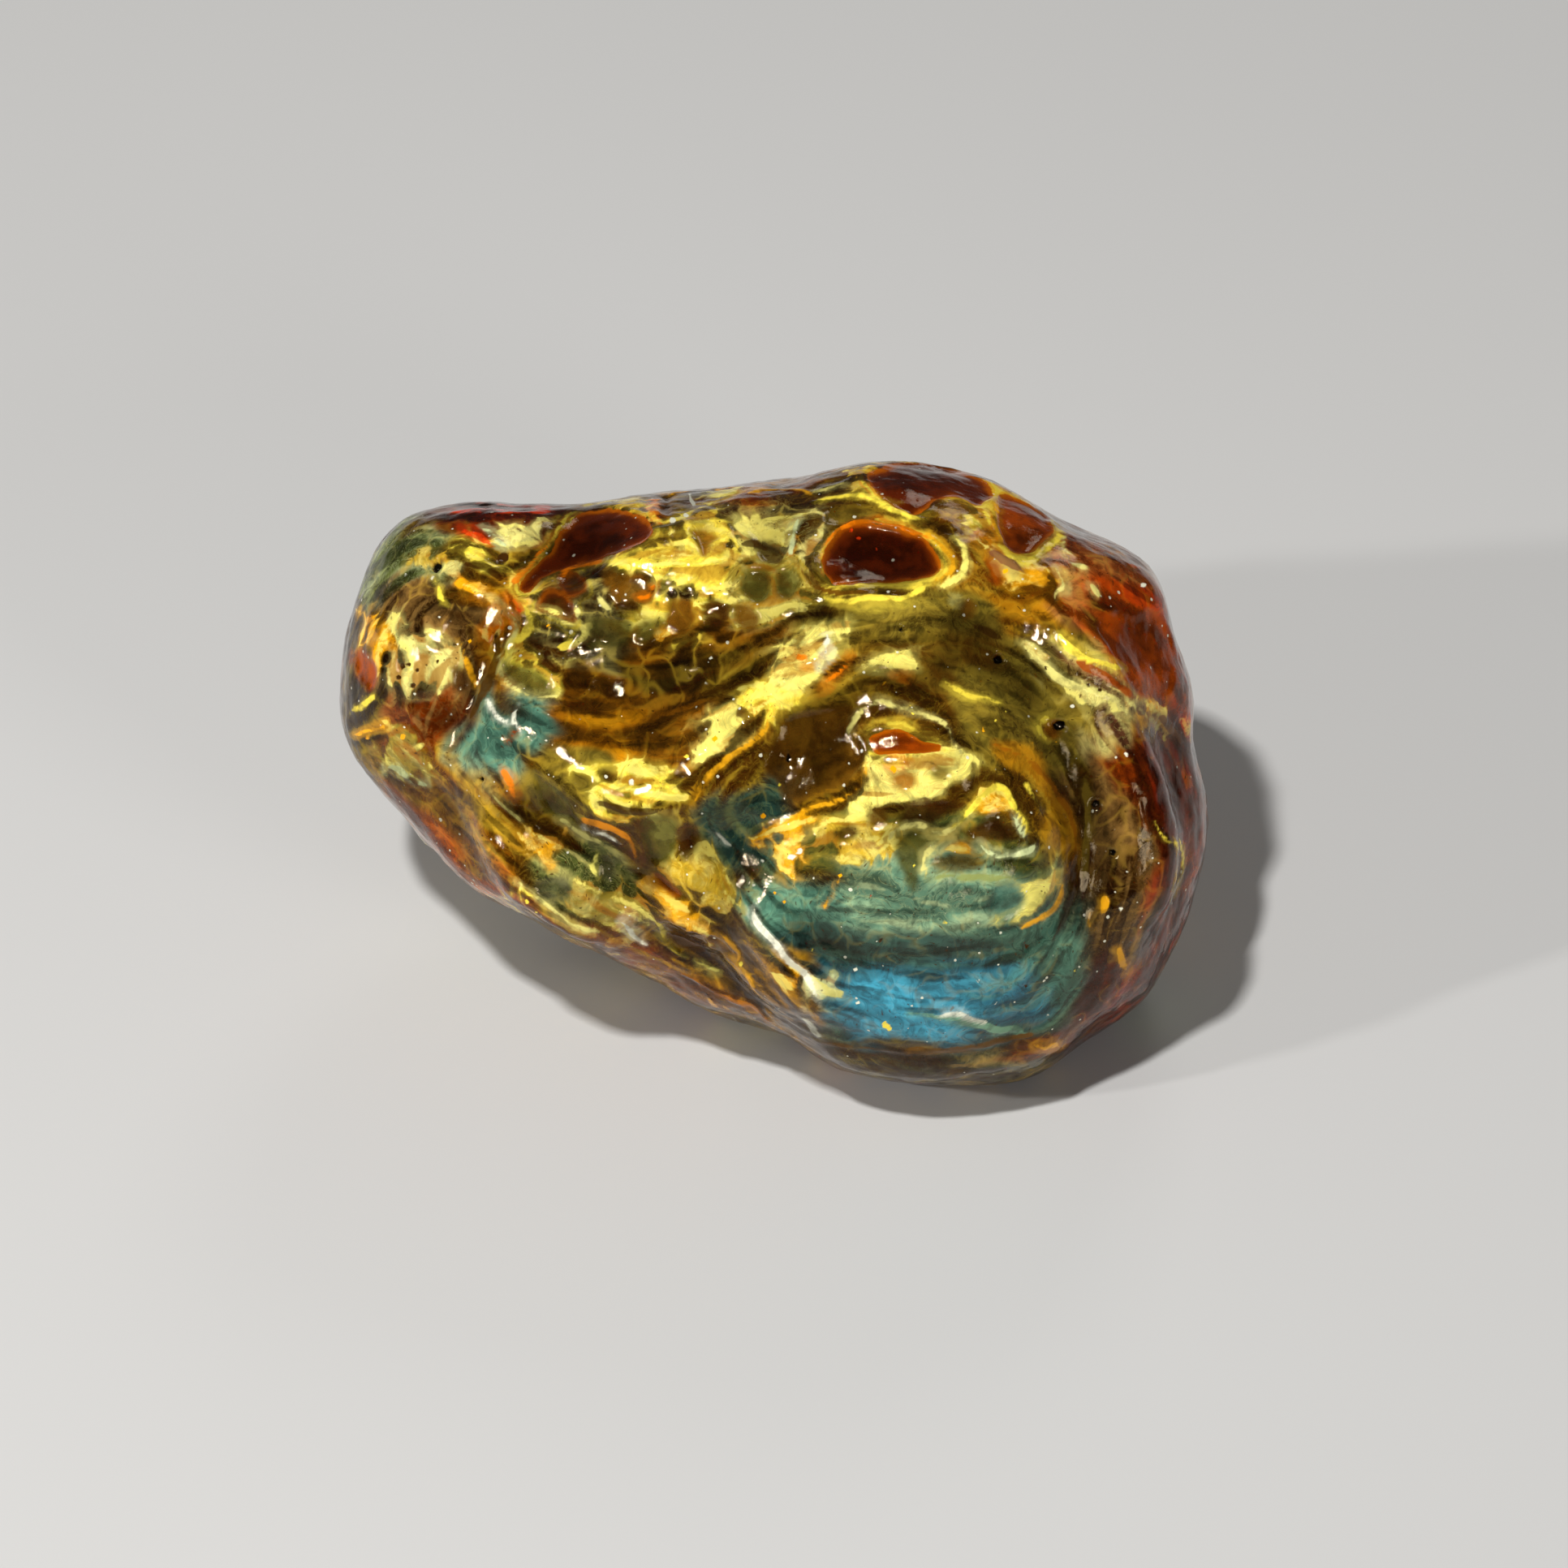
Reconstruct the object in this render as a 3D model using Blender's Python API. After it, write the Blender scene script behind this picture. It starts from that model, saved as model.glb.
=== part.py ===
"""A raw amber piece, worn smooth, lying on the worn flat of its underside.

A ball is drawn out to the piece's outline and depth, then worked like clay: swells and hollows,
crests and grooves, a ledge along the lower edge and scooped chips on the far side.

The work is done in millimetres on the show face's own axes: across, up, and out towards whoever
looks at the face. Only the last steps lean the face back, flatten the underside and scale to metres.
"""

import math
from collections import namedtuple

import bmesh
import bpy
import numpy as np
from mathutils import Vector, noise

MM = 0.001
PIECE_NAME = "amber_piece"
BALL_CELLS = 28  # grid cells along each side of the cube that is rounded into the ball

FACE_LEAN = 42.0  # degrees above the horizontal at which the show face looks, towards -Y
SHOW_DEPTH = 17.0  # from the rim out to the middle of the show face
FAR_DEPTH = 15.5  # from the rim back to the middle of the far side
DEPTH_GAIN = 0.07  # how much deeper the piece gets with each millimetre to the right
FULLNESS = 0.86  # 1 gives a plain ellipsoid, and less gives fuller shoulders
EVEN_OUT = 18.0  # degrees either way over which the outline is evened out away from the rim
EVEN_OUT_LOOKS = 13  # directions looked in to even it out
RIM_KEENNESS = 8.0  # higher keeps those corners closer to the rim
RIM_WANDER = 1.8  # how far the rim strays out and back as it goes round
RIM_TURN = 40.0  # degrees, where that stray begins
REST_LEVEL = 16.2  # the underside is worn flat this far below the middle
REST_BLEND = 1.6  # height over which the flat rounds into the sides

# The outline square on to the show face, anticlockwise from the right: (across, up).
OUTLINE = (
    (30.9, -0.3), (29.5, 2.5), (30.4, 4.1), (29.5, 7.3), (28.1, 10.4), (27.8, 13.9), (26.6, 15.2),
    (24.8, 16.3), (20.4, 18.1), (16.2, 20.3), (14.0, 21.5), (9.0, 22.2), (4.2, 21.4), (1.2, 20.7),
    (-4.9, 20.2), (-11.3, 19.6), (-13.3, 19.0), (-15.2, 19.2), (-20.0, 19.5), (-25.2, 18.7),
    (-27.6, 17.2), (-29.0, 15.4), (-29.6, 12.8), (-30.6, 8.0), (-31.2, 4.3), (-30.6, 2.3),
    (-28.9, 0.2), (-25.7, -3.6), (-23.9, -6.0), (-21.8, -8.2), (-17.8, -10.2), (-12.7, -12.6),
    (-7.5, -14.7), (-2.3, -17.4), (1.4, -18.7), (3.3, -20.7), (7.2, -21.8), (14.2, -22.2),
    (18.0, -22.4), (19.6, -21.6), (21.3, -20.1), (22.6, -18.9), (25.6, -17.2), (27.5, -15.0),
    (28.4, -13.1), (29.5, -10.5), (30.7, -5.0),
)  # fmt: skip

SHOW, FAR = 1, -1  # which side of the rim a feature is on

# A round swell, or a hollow where the height is below 0. Its height falls to a third at the radius.
Lump = namedtuple("Lump", "side across up radius height")
# A crest, or a groove where the height is below 0, along a path of (across, up) points.
Fold = namedtuple("Fold", "side path width height")
# A step along a path: the ground to the right of the path's direction is raised, and fades back.
Ledge = namedtuple("Ledge", "side path edge reach height")
# A shell-shaped chip: a shallow bowl with a definite rim.
Chip = namedtuple("Chip", "side across up radius depth")

LUMPS = (
    Lump(SHOW, -25.0, 9.5, 6.5, 1.4),  # the knob at the left end
    Lump(SHOW, -24.6, 8.2, 3.0, 0.5),
    Lump(SHOW, -18.4, 3.0, 3.4, 1.9),  # the blue-green shoulder beside it
    Lump(SHOW, -8.6, -1.4, 3.6, 1.3),
    Lump(SHOW, -15.8, -5.2, 4.4, 0.9),
    Lump(SHOW, -6.2, 15.0, 5.6, 1.5),
    Lump(SHOW, 8.5, 19.6, 4.6, 0.5),
    Lump(SHOW, 24.6, 12.2, 3.8, 0.6),
    Lump(SHOW, 10.0, -7.6, 10.0, 3.2),  # the broad dome, lower right
    Lump(SHOW, 7.0, 1.8, 3.2, 1.4),  # its upper crest
    Lump(SHOW, 11.8, 0.2, 3.0, 0.8),
    Lump(SHOW, 16.4, -4.6, 3.6, 1.0),
    Lump(SHOW, 9.0, -16.4, 4.6, 0.9),
    Lump(SHOW, 26.6, -6.0, 5.0, 1.1),
    Lump(SHOW, 1.6, 7.8, 2.4, 0.8),  # two worm-like beads on the seam
    Lump(SHOW, -3.4, 2.8, 2.4, 0.8),
    Lump(SHOW, -10.4, 7.4, 7.6, -2.5),  # the basin across the middle
    Lump(SHOW, -14.4, 15.6, 4.0, -2.2),  # the smooth dark scoop at the upper left
    Lump(SHOW, 3.2, 1.8, 2.8, -1.6),  # the dark window under the seam
    Lump(SHOW, -2.8, -4.6, 3.6, -1.7),  # the dip on the dome's left
    Lump(SHOW, -3.4, -12.6, 2.8, -0.9),
    Lump(SHOW, 14.6, 9.4, 4.6, -1.3),
    Lump(SHOW, 7.8, 15.4, 3.2, -1.5),  # the window pocket near the top
    Lump(SHOW, 25.8, 9.2, 2.8, -1.0),
    Lump(SHOW, 29.4, 0.6, 3.0, -1.0),
    Lump(SHOW, 18.6, 16.4, 2.6, -0.7),
    Lump(SHOW, -25.2, -0.6, 3.6, -1.0),
    Lump(FAR, -19.0, 6.0, 8.0, 1.8),
    Lump(FAR, 15.0, 9.0, 8.0, 2.2),
    Lump(FAR, 4.0, -10.0, 7.0, 1.2),
    Lump(FAR, -3.0, 13.0, 6.0, -2.0),
    Lump(FAR, 23.0, -3.0, 6.0, -1.8),
    Lump(FAR, -11.0, -5.0, 5.0, -1.2),
)
FOLDS = (
    # The crease that sets off the knob at the left end.
    Fold(SHOW, ((-16.2, 12.6), (-18.9, 9.8), (-20.0, 6.8), (-21.6, 4.0), (-24.4, 1.2)), 2.0, -1.9),
    # The rim of the smooth scoop.
    Fold(SHOW, ((-18.6, 12.4), (-15.2, 12.2), (-11.4, 13.4), (-9.0, 15.4), (-9.0, 18.0)), 1.6, 0.9),
    # The seam that crosses the face.
    Fold(SHOW, ((13.2, 9.2), (8.4, 9.4), (4.6, 8.2), (1.2, 5.6), (-2.4, 2.3), (-6.0, -2.4)), 1.8, 1.7),
    # The crest from the shoulder along the lower edge of the basin.
    Fold(SHOW, ((-18.4, 2.6), (-13.4, 0.2), (-8.6, -1.8), (-4.6, -2.6)), 1.9, 1.1),
    # The crest above the lower-left flank.
    Fold(SHOW, ((-22.4, -1.4), (-19.6, -5.0), (-16.6, -8.2), (-13.6, -10.4), (-10.6, -11.6)), 1.6, 1.2),
    # A dip between that crest and the next.
    Fold(SHOW, ((-19.2, -1.8), (-15.4, -3.4), (-11.6, -6.4), (-7.0, -8.4)), 1.6, -1.0),
    # The dome's left edge.
    Fold(SHOW, ((-1.2, -8.2), (-0.2, -11.2), (2.2, -14.0), (3.6, -16.6)), 1.6, 1.5),
    # The groove round the dome's right side, and the swell that runs beside it.
    Fold(SHOW, ((13.8, 7.4), (17.8, 5.2), (20.8, 0.6), (21.7, -5.6), (19.6, -13.6)), 2.3, -1.7),
    Fold(SHOW, ((24.4, 2.6), (26.2, -2.0), (26.4, -7.0), (24.8, -12.4)), 2.3, 0.8),
    # Two creases across the dome.
    Fold(SHOW, ((1.4, -11.0), (6.4, -11.6), (11.4, -12.8), (16.4, -12.6)), 1.7, -0.8),
    Fold(SHOW, ((4.2, -3.4), (8.8, -3.2), (13.0, -5.0), (16.2, -8.4)), 1.7, -0.9),
    # Strata along the lower-left flank.
    Fold(SHOW, ((-8.8, -8.6), (-4.6, -11.6), (-0.4, -14.8), (2.6, -17.4)), 1.4, 0.7),
    Fold(SHOW, ((-10.6, -10.4), (-6.0, -12.9), (-1.6, -15.7), (1.4, -17.8)), 1.3, -0.8),
    # The fibrous strand that runs down into the notch of the right edge, and the notch.
    Fold(SHOW, ((17.8, 11.4), (21.6, 8.6), (25.2, 6.2), (27.8, 3.8)), 1.6, 1.1),
    Fold(SHOW, ((25.8, 4.0), (28.0, 3.2), (30.2, 2.4)), 1.4, -1.0),
    # The raised ring round the window pocket.
    Fold(SHOW, ((2.6, 17.4), (3.0, 14.2), (6.6, 12.0), (11.4, 12.4), (14.0, 15.0), (12.6, 18.0)), 1.5, 0.9),
    # Long worn folds over the far side.
    Fold(FAR, ((-25.0, 9.0), (-12.0, 11.0), (1.0, 6.0), (14.0, 2.0), (25.0, -5.0)), 2.6, 1.7),
    Fold(FAR, ((-20.0, -2.0), (-8.0, 1.0), (4.0, -2.0), (14.0, -7.0)), 2.2, -1.5),
    Fold(FAR, ((3.0, 17.0), (10.0, 13.0), (20.0, 11.0)), 1.8, -1.2),
)
LEDGES = (
    # The lip along the lower edge, under the dome.
    Ledge(SHOW, ((2.4, -17.6), (6.6, -18.8), (12.0, -19.4), (17.0, -18.8), (21.0, -16.4)), 1.1, 3.6, 1.3),
    # Layers stepping down towards the right rim.
    Ledge(SHOW, ((25.4, -14.4), (28.0, -9.0), (28.4, -3.6), (27.0, 1.6), (23.4, 6.6)), 1.2, 3.6, -1.2),
    # A broken layer on the far side.
    Ledge(FAR, ((-22.0, -4.0), (-13.0, -6.4), (-4.0, -9.6), (6.0, -13.0)), 1.2, 5.0, 1.2),
)
CHIPS = (
    Chip(SHOW, -21.6, -4.4, 4.4, 0.9),  # the smooth slope at the lower left
    Chip(FAR, -9.0, 6.0, 7.5, 2.0),
    Chip(FAR, 8.0, 0.0, 6.5, 1.7),
    Chip(FAR, -22.0, 2.0, 5.5, 1.5),
    Chip(FAR, 22.0, 8.0, 5.5, 1.4),
    Chip(FAR, 6.0, 15.0, 5.0, 1.3),
)
PATH_STEP = 0.04  # share of a path between the points that stand for it
PATH_FADE = 0.22  # share of a path over which a fold or ledge rises from nothing at each end
# Grain of the worn skin: (size of the unevenness, height).
UNEVENNESS = ((8.0, 0.6), (3.8, 0.3))
WORN_PASSES = 2  # times the skin is worn, each time by this share of the way to its neighbours
WORN_SHARE = 0.4


def outline_radius(angle):
    """Distance from the middle to the outline in the directions given, in radians."""
    points = np.array(OUTLINE)
    angles = np.arctan2(points[:, 1], points[:, 0])
    radii = np.hypot(points[:, 0], points[:, 1])
    return np.interp(angle, angles, radii, period=2 * math.pi)


def softened_radius(angle):
    """The same outline with its small corners evened out."""
    turns = np.radians(np.linspace(-EVEN_OUT, EVEN_OUT, EVEN_OUT_LOOKS))
    return np.mean([outline_radius(angle + turn) for turn in turns], axis=0)


def body_point(ball):
    """Where each point of the unit ball goes on the plain body: rows of across, up, out."""
    flat = np.hypot(ball[:, 0], ball[:, 1])
    angle = np.arctan2(ball[:, 1], ball[:, 0])
    at_rim = flat**RIM_KEENNESS
    radius = at_rim * outline_radius(angle) + (1 - at_rim) * softened_radius(angle)
    spread = radius * flat**FULLNESS
    across, up = spread * np.cos(angle), spread * np.sin(angle)
    depth = np.where(ball[:, 2] > 0, SHOW_DEPTH, FAR_DEPTH) + DEPTH_GAIN * across
    stray = RIM_WANDER * np.sin(2 * angle + math.radians(RIM_TURN)) * flat**2
    out = np.sign(ball[:, 2]) * depth * np.abs(ball[:, 2]) ** FULLNESS + stray
    return np.stack([across, up, out], axis=1)


def on_body(side, places):
    """The points of the plain body under places on the show face or the far side."""
    places = np.array(places, dtype=float).reshape(-1, 2)
    angle = np.arctan2(places[:, 1], places[:, 0])
    share = np.clip(np.hypot(places[:, 0], places[:, 1]) / softened_radius(angle), 0, 1)
    flat = share ** (1 / FULLNESS)
    level = side * np.sqrt(1 - flat * flat)
    return body_point(np.stack([flat * np.cos(angle), flat * np.sin(angle), level], axis=1))


def from_path(feature, points, normals):
    """Each point's distance to the path, how far it is to the path's right, and the fade at the ends."""
    path = np.array(feature.path)
    corners = np.linspace(0, 1, len(path))
    shares = np.arange(0, 1 + PATH_STEP / 2, PATH_STEP)
    places = np.stack([np.interp(shares, corners, part) for part in path.T], axis=1)
    chain = on_body(feature.side, places)
    onward = np.gradient(chain, axis=0)
    onward /= np.linalg.norm(onward, axis=1)[:, None]

    gaps = points[:, None, :] - chain[None, :, :]
    distances = np.linalg.norm(gaps, axis=2)
    nearest = distances.argmin(axis=1)
    rows = np.arange(len(points))
    rightward = np.cross(onward[nearest], normals)
    to_right = np.einsum("ij,ij->i", gaps[rows, nearest], rightward)
    from_end = np.clip(np.minimum(shares, 1 - shares) / PATH_FADE, 0, 1)[nearest]
    return distances[rows, nearest], to_right, from_end * from_end * (3 - 2 * from_end)


def from_place(feature, points):
    return np.linalg.norm(points - on_body(feature.side, (feature.across, feature.up)), axis=1)


def lump_height(lump, points, normals):
    return lump.height * np.exp(-((from_place(lump, points) / lump.radius) ** 2))


def fold_height(fold, points, normals):
    distance, _, fade = from_path(fold, points, normals)
    return fold.height * fade * np.exp(-((distance / fold.width) ** 2))


def ledge_height(ledge, points, normals):
    distance, to_right, fade = from_path(ledge, points, normals)
    step = 0.5 + 0.5 * np.tanh(to_right / ledge.edge)
    return ledge.height * fade * step * np.exp(-((distance / ledge.reach) ** 2))


def chip_height(chip, points, normals):
    return -chip.depth * np.clip(1 - (from_place(chip, points) / chip.radius) ** 2, 0, None)


def uneven_height(points):
    total = np.zeros(len(points))
    for size, height in UNEVENNESS:
        total += height * np.array([noise.noise(Vector(point) / size) for point in points])
    return total


def relief(points, normals):
    """How far each point of the body moves out along its normal."""
    total = uneven_height(points)
    for features, height_of in (
        (LUMPS, lump_height),
        (FOLDS, fold_height),
        (LEDGES, ledge_height),
        (CHIPS, chip_height),
    ):
        for feature in features:
            total += height_of(feature, points, normals)
    return total


def lean_back(points):
    """The show face's across, up and out turned into X, Y and Z."""
    lean = math.radians(FACE_LEAN)
    across, up, out = points.T
    back = up * math.sin(lean) - out * math.cos(lean)
    height = up * math.cos(lean) + out * math.sin(lean)
    return np.stack([across, back, height], axis=1)


def wear_flat(points):
    """The underside planed off at the rest level, rounding into the sides over a short height."""
    above = points[:, 2] + REST_LEVEL
    blend = np.clip(0.5 + 0.5 * above / REST_BLEND, 0, 1)
    points[:, 2] = above * blend + REST_BLEND * blend * (1 - blend)
    return points


def centred(points):
    """Moved so that the origin is under the middle of the piece, on the surface it rests on."""
    low, high = points.min(axis=0), points.max(axis=0)
    middle = (low + high) / 2
    return points - (middle[0], middle[1], low[2])


def rounded_ball():
    """A cube grid swollen into a unit ball: even cells, and no poles."""
    grid = bmesh.new()
    bmesh.ops.create_cube(grid, size=2.0)
    bmesh.ops.subdivide_edges(grid, edges=grid.edges, cuts=BALL_CELLS - 1, use_grid_fill=True)
    for vert in grid.verts:
        vert.co = Vector([math.tan(x * math.pi / 4) for x in vert.co]).normalized()
    return grid


def positions(grid):
    return np.array([vert.co for vert in grid.verts])


def set_positions(grid, points):
    for vert, point in zip(grid.verts, points):
        vert.co = point
    grid.normal_update()


def wear_down(grid):
    every_way = {"use_axis_x": True, "use_axis_y": True, "use_axis_z": True}
    bmesh.ops.smooth_vert(grid, verts=grid.verts, factor=WORN_SHARE, **every_way)


def make_material():
    material = bpy.data.materials.new("clouded_amber")
    material.use_nodes = True
    shader = material.node_tree.nodes["Principled BSDF"]
    shader.inputs["Base Color"].default_value = (0.36, 0.19, 0.04, 1.0)
    shader.inputs["Roughness"].default_value = 0.08
    shader.inputs["Metallic"].default_value = 0.0
    shader.inputs["IOR"].default_value = 1.54
    shader.inputs["Transmission Weight"].default_value = 0.5
    material.diffuse_color = (0.36, 0.19, 0.04, 1.0)
    return material


def make_piece():
    grid = rounded_ball()
    set_positions(grid, body_point(positions(grid)))
    body = positions(grid)
    normals = np.array([vert.normal for vert in grid.verts])
    set_positions(grid, body + relief(body, normals)[:, None] * normals)
    for _ in range(WORN_PASSES):
        wear_down(grid)
    set_positions(grid, centred(wear_flat(lean_back(positions(grid)))) * MM)
    bmesh.ops.recalc_face_normals(grid, faces=grid.faces)

    mesh = bpy.data.meshes.new(PIECE_NAME)
    grid.to_mesh(mesh)
    grid.free()
    mesh.shade_smooth()
    mesh.materials.append(make_material())
    return bpy.data.objects.new(PIECE_NAME, mesh)


def main():
    for old in list(bpy.data.objects):
        bpy.data.objects.remove(old)
    collection = bpy.data.collections.new("raw_amber_piece")
    bpy.context.scene.collection.children.link(collection)
    collection.objects.link(make_piece())


main()
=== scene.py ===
import math
import bpy
import numpy as np
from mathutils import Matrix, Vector


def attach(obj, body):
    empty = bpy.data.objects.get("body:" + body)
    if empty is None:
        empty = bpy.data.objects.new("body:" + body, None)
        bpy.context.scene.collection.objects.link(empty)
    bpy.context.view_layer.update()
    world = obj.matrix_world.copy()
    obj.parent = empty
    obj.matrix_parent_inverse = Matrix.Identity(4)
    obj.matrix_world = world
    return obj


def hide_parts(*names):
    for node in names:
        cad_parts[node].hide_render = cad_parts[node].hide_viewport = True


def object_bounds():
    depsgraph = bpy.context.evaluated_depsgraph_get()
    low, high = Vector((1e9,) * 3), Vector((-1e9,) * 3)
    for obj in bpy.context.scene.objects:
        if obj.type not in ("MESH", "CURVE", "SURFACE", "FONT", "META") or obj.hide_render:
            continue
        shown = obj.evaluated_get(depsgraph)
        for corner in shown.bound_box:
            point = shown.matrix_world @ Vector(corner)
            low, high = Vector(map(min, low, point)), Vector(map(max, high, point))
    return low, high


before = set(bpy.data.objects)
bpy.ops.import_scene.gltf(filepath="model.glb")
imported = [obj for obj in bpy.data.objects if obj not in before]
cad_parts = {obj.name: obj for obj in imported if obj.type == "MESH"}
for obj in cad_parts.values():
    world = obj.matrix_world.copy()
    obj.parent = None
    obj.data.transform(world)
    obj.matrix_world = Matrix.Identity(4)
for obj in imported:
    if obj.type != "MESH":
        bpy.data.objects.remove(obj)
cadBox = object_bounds()

# The show face and the eye that looks at it. A place on the face is given right and down from a corner
# off its upper left, in face units.
face = {
    "unit": 62 / 1072 / 1000,  # metres
    "middle": (-0.000138, 0.001119, 0.0162),  # where the place 952,953 lies
    "middlePlace": (952, 953),
    "aimPlace": (966, 966),
    "size": 1932,
    "lean": 42.0,  # degrees that the face looks up
    "eyeDistance": 0.6,
    "sensor": 36.0,
}
lean = math.radians(face["lean"])
acrossWay = np.array((1.0, 0.0, 0.0))
upWay = np.array((0.0, math.sin(lean), math.cos(lean)))
outWay = np.array((0.0, -math.cos(lean), math.sin(lean)))
aimPoint = (
    np.array(face["middle"])
    + acrossWay * (face["aimPlace"][0] - face["middlePlace"][0]) * face["unit"]
    - upWay * (face["aimPlace"][1] - face["middlePlace"][1]) * face["unit"]
)
eyePoint = aimPoint + outWay * face["eyeDistance"]


def addCamera():
    lens = face["sensor"] * face["eyeDistance"] / (face["size"] * face["unit"])
    bpy.ops.object.camera_add(location=eyePoint)
    camera = bpy.context.active_object
    camera.name = "show_camera"
    camera.data.sensor_width = face["sensor"]
    camera.data.lens = lens
    camera.data.clip_start = 0.01
    camera.rotation_euler = Vector(-outWay).to_track_quat("-Z", "Y").to_euler()
    bpy.context.scene.camera = camera
    print("camera set")


stone = {
    "merge": 1e-6,
    "joinAngles": (70, 100),  # degrees between faces and within them, up to which triangles join
    "frontFrom": 0.03,  # faces turned to the show side more than this are cut finer
    "frontCuts": 2,
    "evening": 2,
    "swell": (0.0045, 0.00022),  # size and height of each roughness, in metres
    "grain": (0.0010, 0.00006),
    "flatTop": (0.0006, 0.0022),  # the worn flat underneath stays as it is up to here
    "weightSteps": 40,
    "depths": {"spot": -0.0007, "window": -0.00016, "cloud": 0.00010, "vein": 0.00006},
    "slopes": {"spot": (-2.5, 2.5), "window": (-1.5, 5.0), "cloud": (-3.0, 7.0), "vein": (-1.2, 1.5)},
}


def onlySelect(piece):
    bpy.ops.object.select_all(action="DESELECT")
    piece.select_set(True)
    bpy.context.view_layer.objects.active = piece


def applyModifier(piece, kind, name, **settings):
    modifier = piece.modifiers.new(name, kind)
    for key, value in settings.items():
        setattr(modifier, key, value)
    onlySelect(piece)
    bpy.ops.object.modifier_apply(modifier=modifier.name)


def meshRows(items, key):
    rows = np.empty(len(items) * 3)
    items.foreach_get(key, rows)
    return rows.reshape(-1, 3)


def meshPoints(piece):
    return meshRows(piece.data.vertices, "co")


def meshNormals(piece):
    return meshRows(piece.data.vertex_normals, "vector")


def turnToEye(points, normals):
    toEye = eyePoint - points
    toEye /= np.linalg.norm(toEye, axis=1)[:, None]
    return (toEye * normals).sum(axis=1)


def makeStone():
    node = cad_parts["amber_piece"]
    onlySelect(node)
    bpy.ops.object.duplicate()
    piece = bpy.context.active_object
    piece.name = "amber_stone"
    piece.data.name = "amber_stone"
    bpy.ops.object.mode_set(mode="EDIT")
    bpy.ops.mesh.select_all(action="SELECT")
    bpy.ops.mesh.remove_doubles(threshold=stone["merge"])
    between, within = (math.radians(angle) for angle in stone["joinAngles"])
    bpy.ops.mesh.tris_convert_to_quads(face_threshold=between, shape_threshold=within)
    bpy.ops.object.mode_set(mode="OBJECT")
    applyModifier(piece, "SUBSURF", "rounding", levels=1, render_levels=1)

    turn = turnToEye(meshPoints(piece), meshNormals(piece)) > stone["frontFrom"]
    bpy.ops.object.mode_set(mode="EDIT")
    bpy.ops.mesh.select_all(action="DESELECT")
    bpy.ops.mesh.select_mode(type="FACE")
    bpy.ops.object.mode_set(mode="OBJECT")
    for polygon in piece.data.polygons:
        polygon.select = all(turn[i] for i in polygon.vertices)
    bpy.ops.object.mode_set(mode="EDIT")
    bpy.ops.mesh.subdivide(number_cuts=stone["frontCuts"])
    bpy.ops.object.mode_set(mode="OBJECT")
    applyModifier(piece, "SMOOTH", "evening", factor=0.5, iterations=stone["evening"])
    print("stone mesh:", len(piece.data.vertices), "points")
    return piece


tints = {
    "black": (10, 8, 5), "wine": (52, 14, 1), "maroon": (84, 26, 2),
    "rust": (150, 60, 3), "red": (214, 54, 8), "umber": (60, 34, 6), "brown": (102, 64, 9),
    "amber": (146, 84, 7), "honey": (198, 118, 10), "orange": (230, 118, 6), "ember": (255, 174, 14),
    "gold": (228, 160, 22), "mustard": (202, 164, 42), "yellow": (250, 222, 70), "lemon": (248, 232, 112),
    # white is the tint of the painted glints and highlight lines
    "cream": (222, 210, 118), "pale": (204, 212, 150), "white": (235, 232, 205), "tan": (176, 132, 66),
    "mauve": (130, 80, 48), "olive": (110, 88, 24), "khaki": (152, 130, 42),
    "moss": (70, 68, 22), "fern": (96, 104, 46), "sage": (136, 144, 78), "slate": (86, 86, 54),
    "teal": (84, 132, 108), "pond": (60, 100, 84), "blue": (70, 168, 192), "deepBlue": (44, 124, 146),
    "sea": (118, 160, 126), "dusk": (48, 70, 62),
}


def readRows(text, heads):
    # a row starts with its tints and numbers, then come its places; an indented line goes on with the row
    rows = [row.split() for row in text.replace("\n ", " ").split("\n") if row]
    return [(*(float(v) if v[0].isdigit() else v for v in row[:heads]), row[heads:]) for row in rows]
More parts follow.
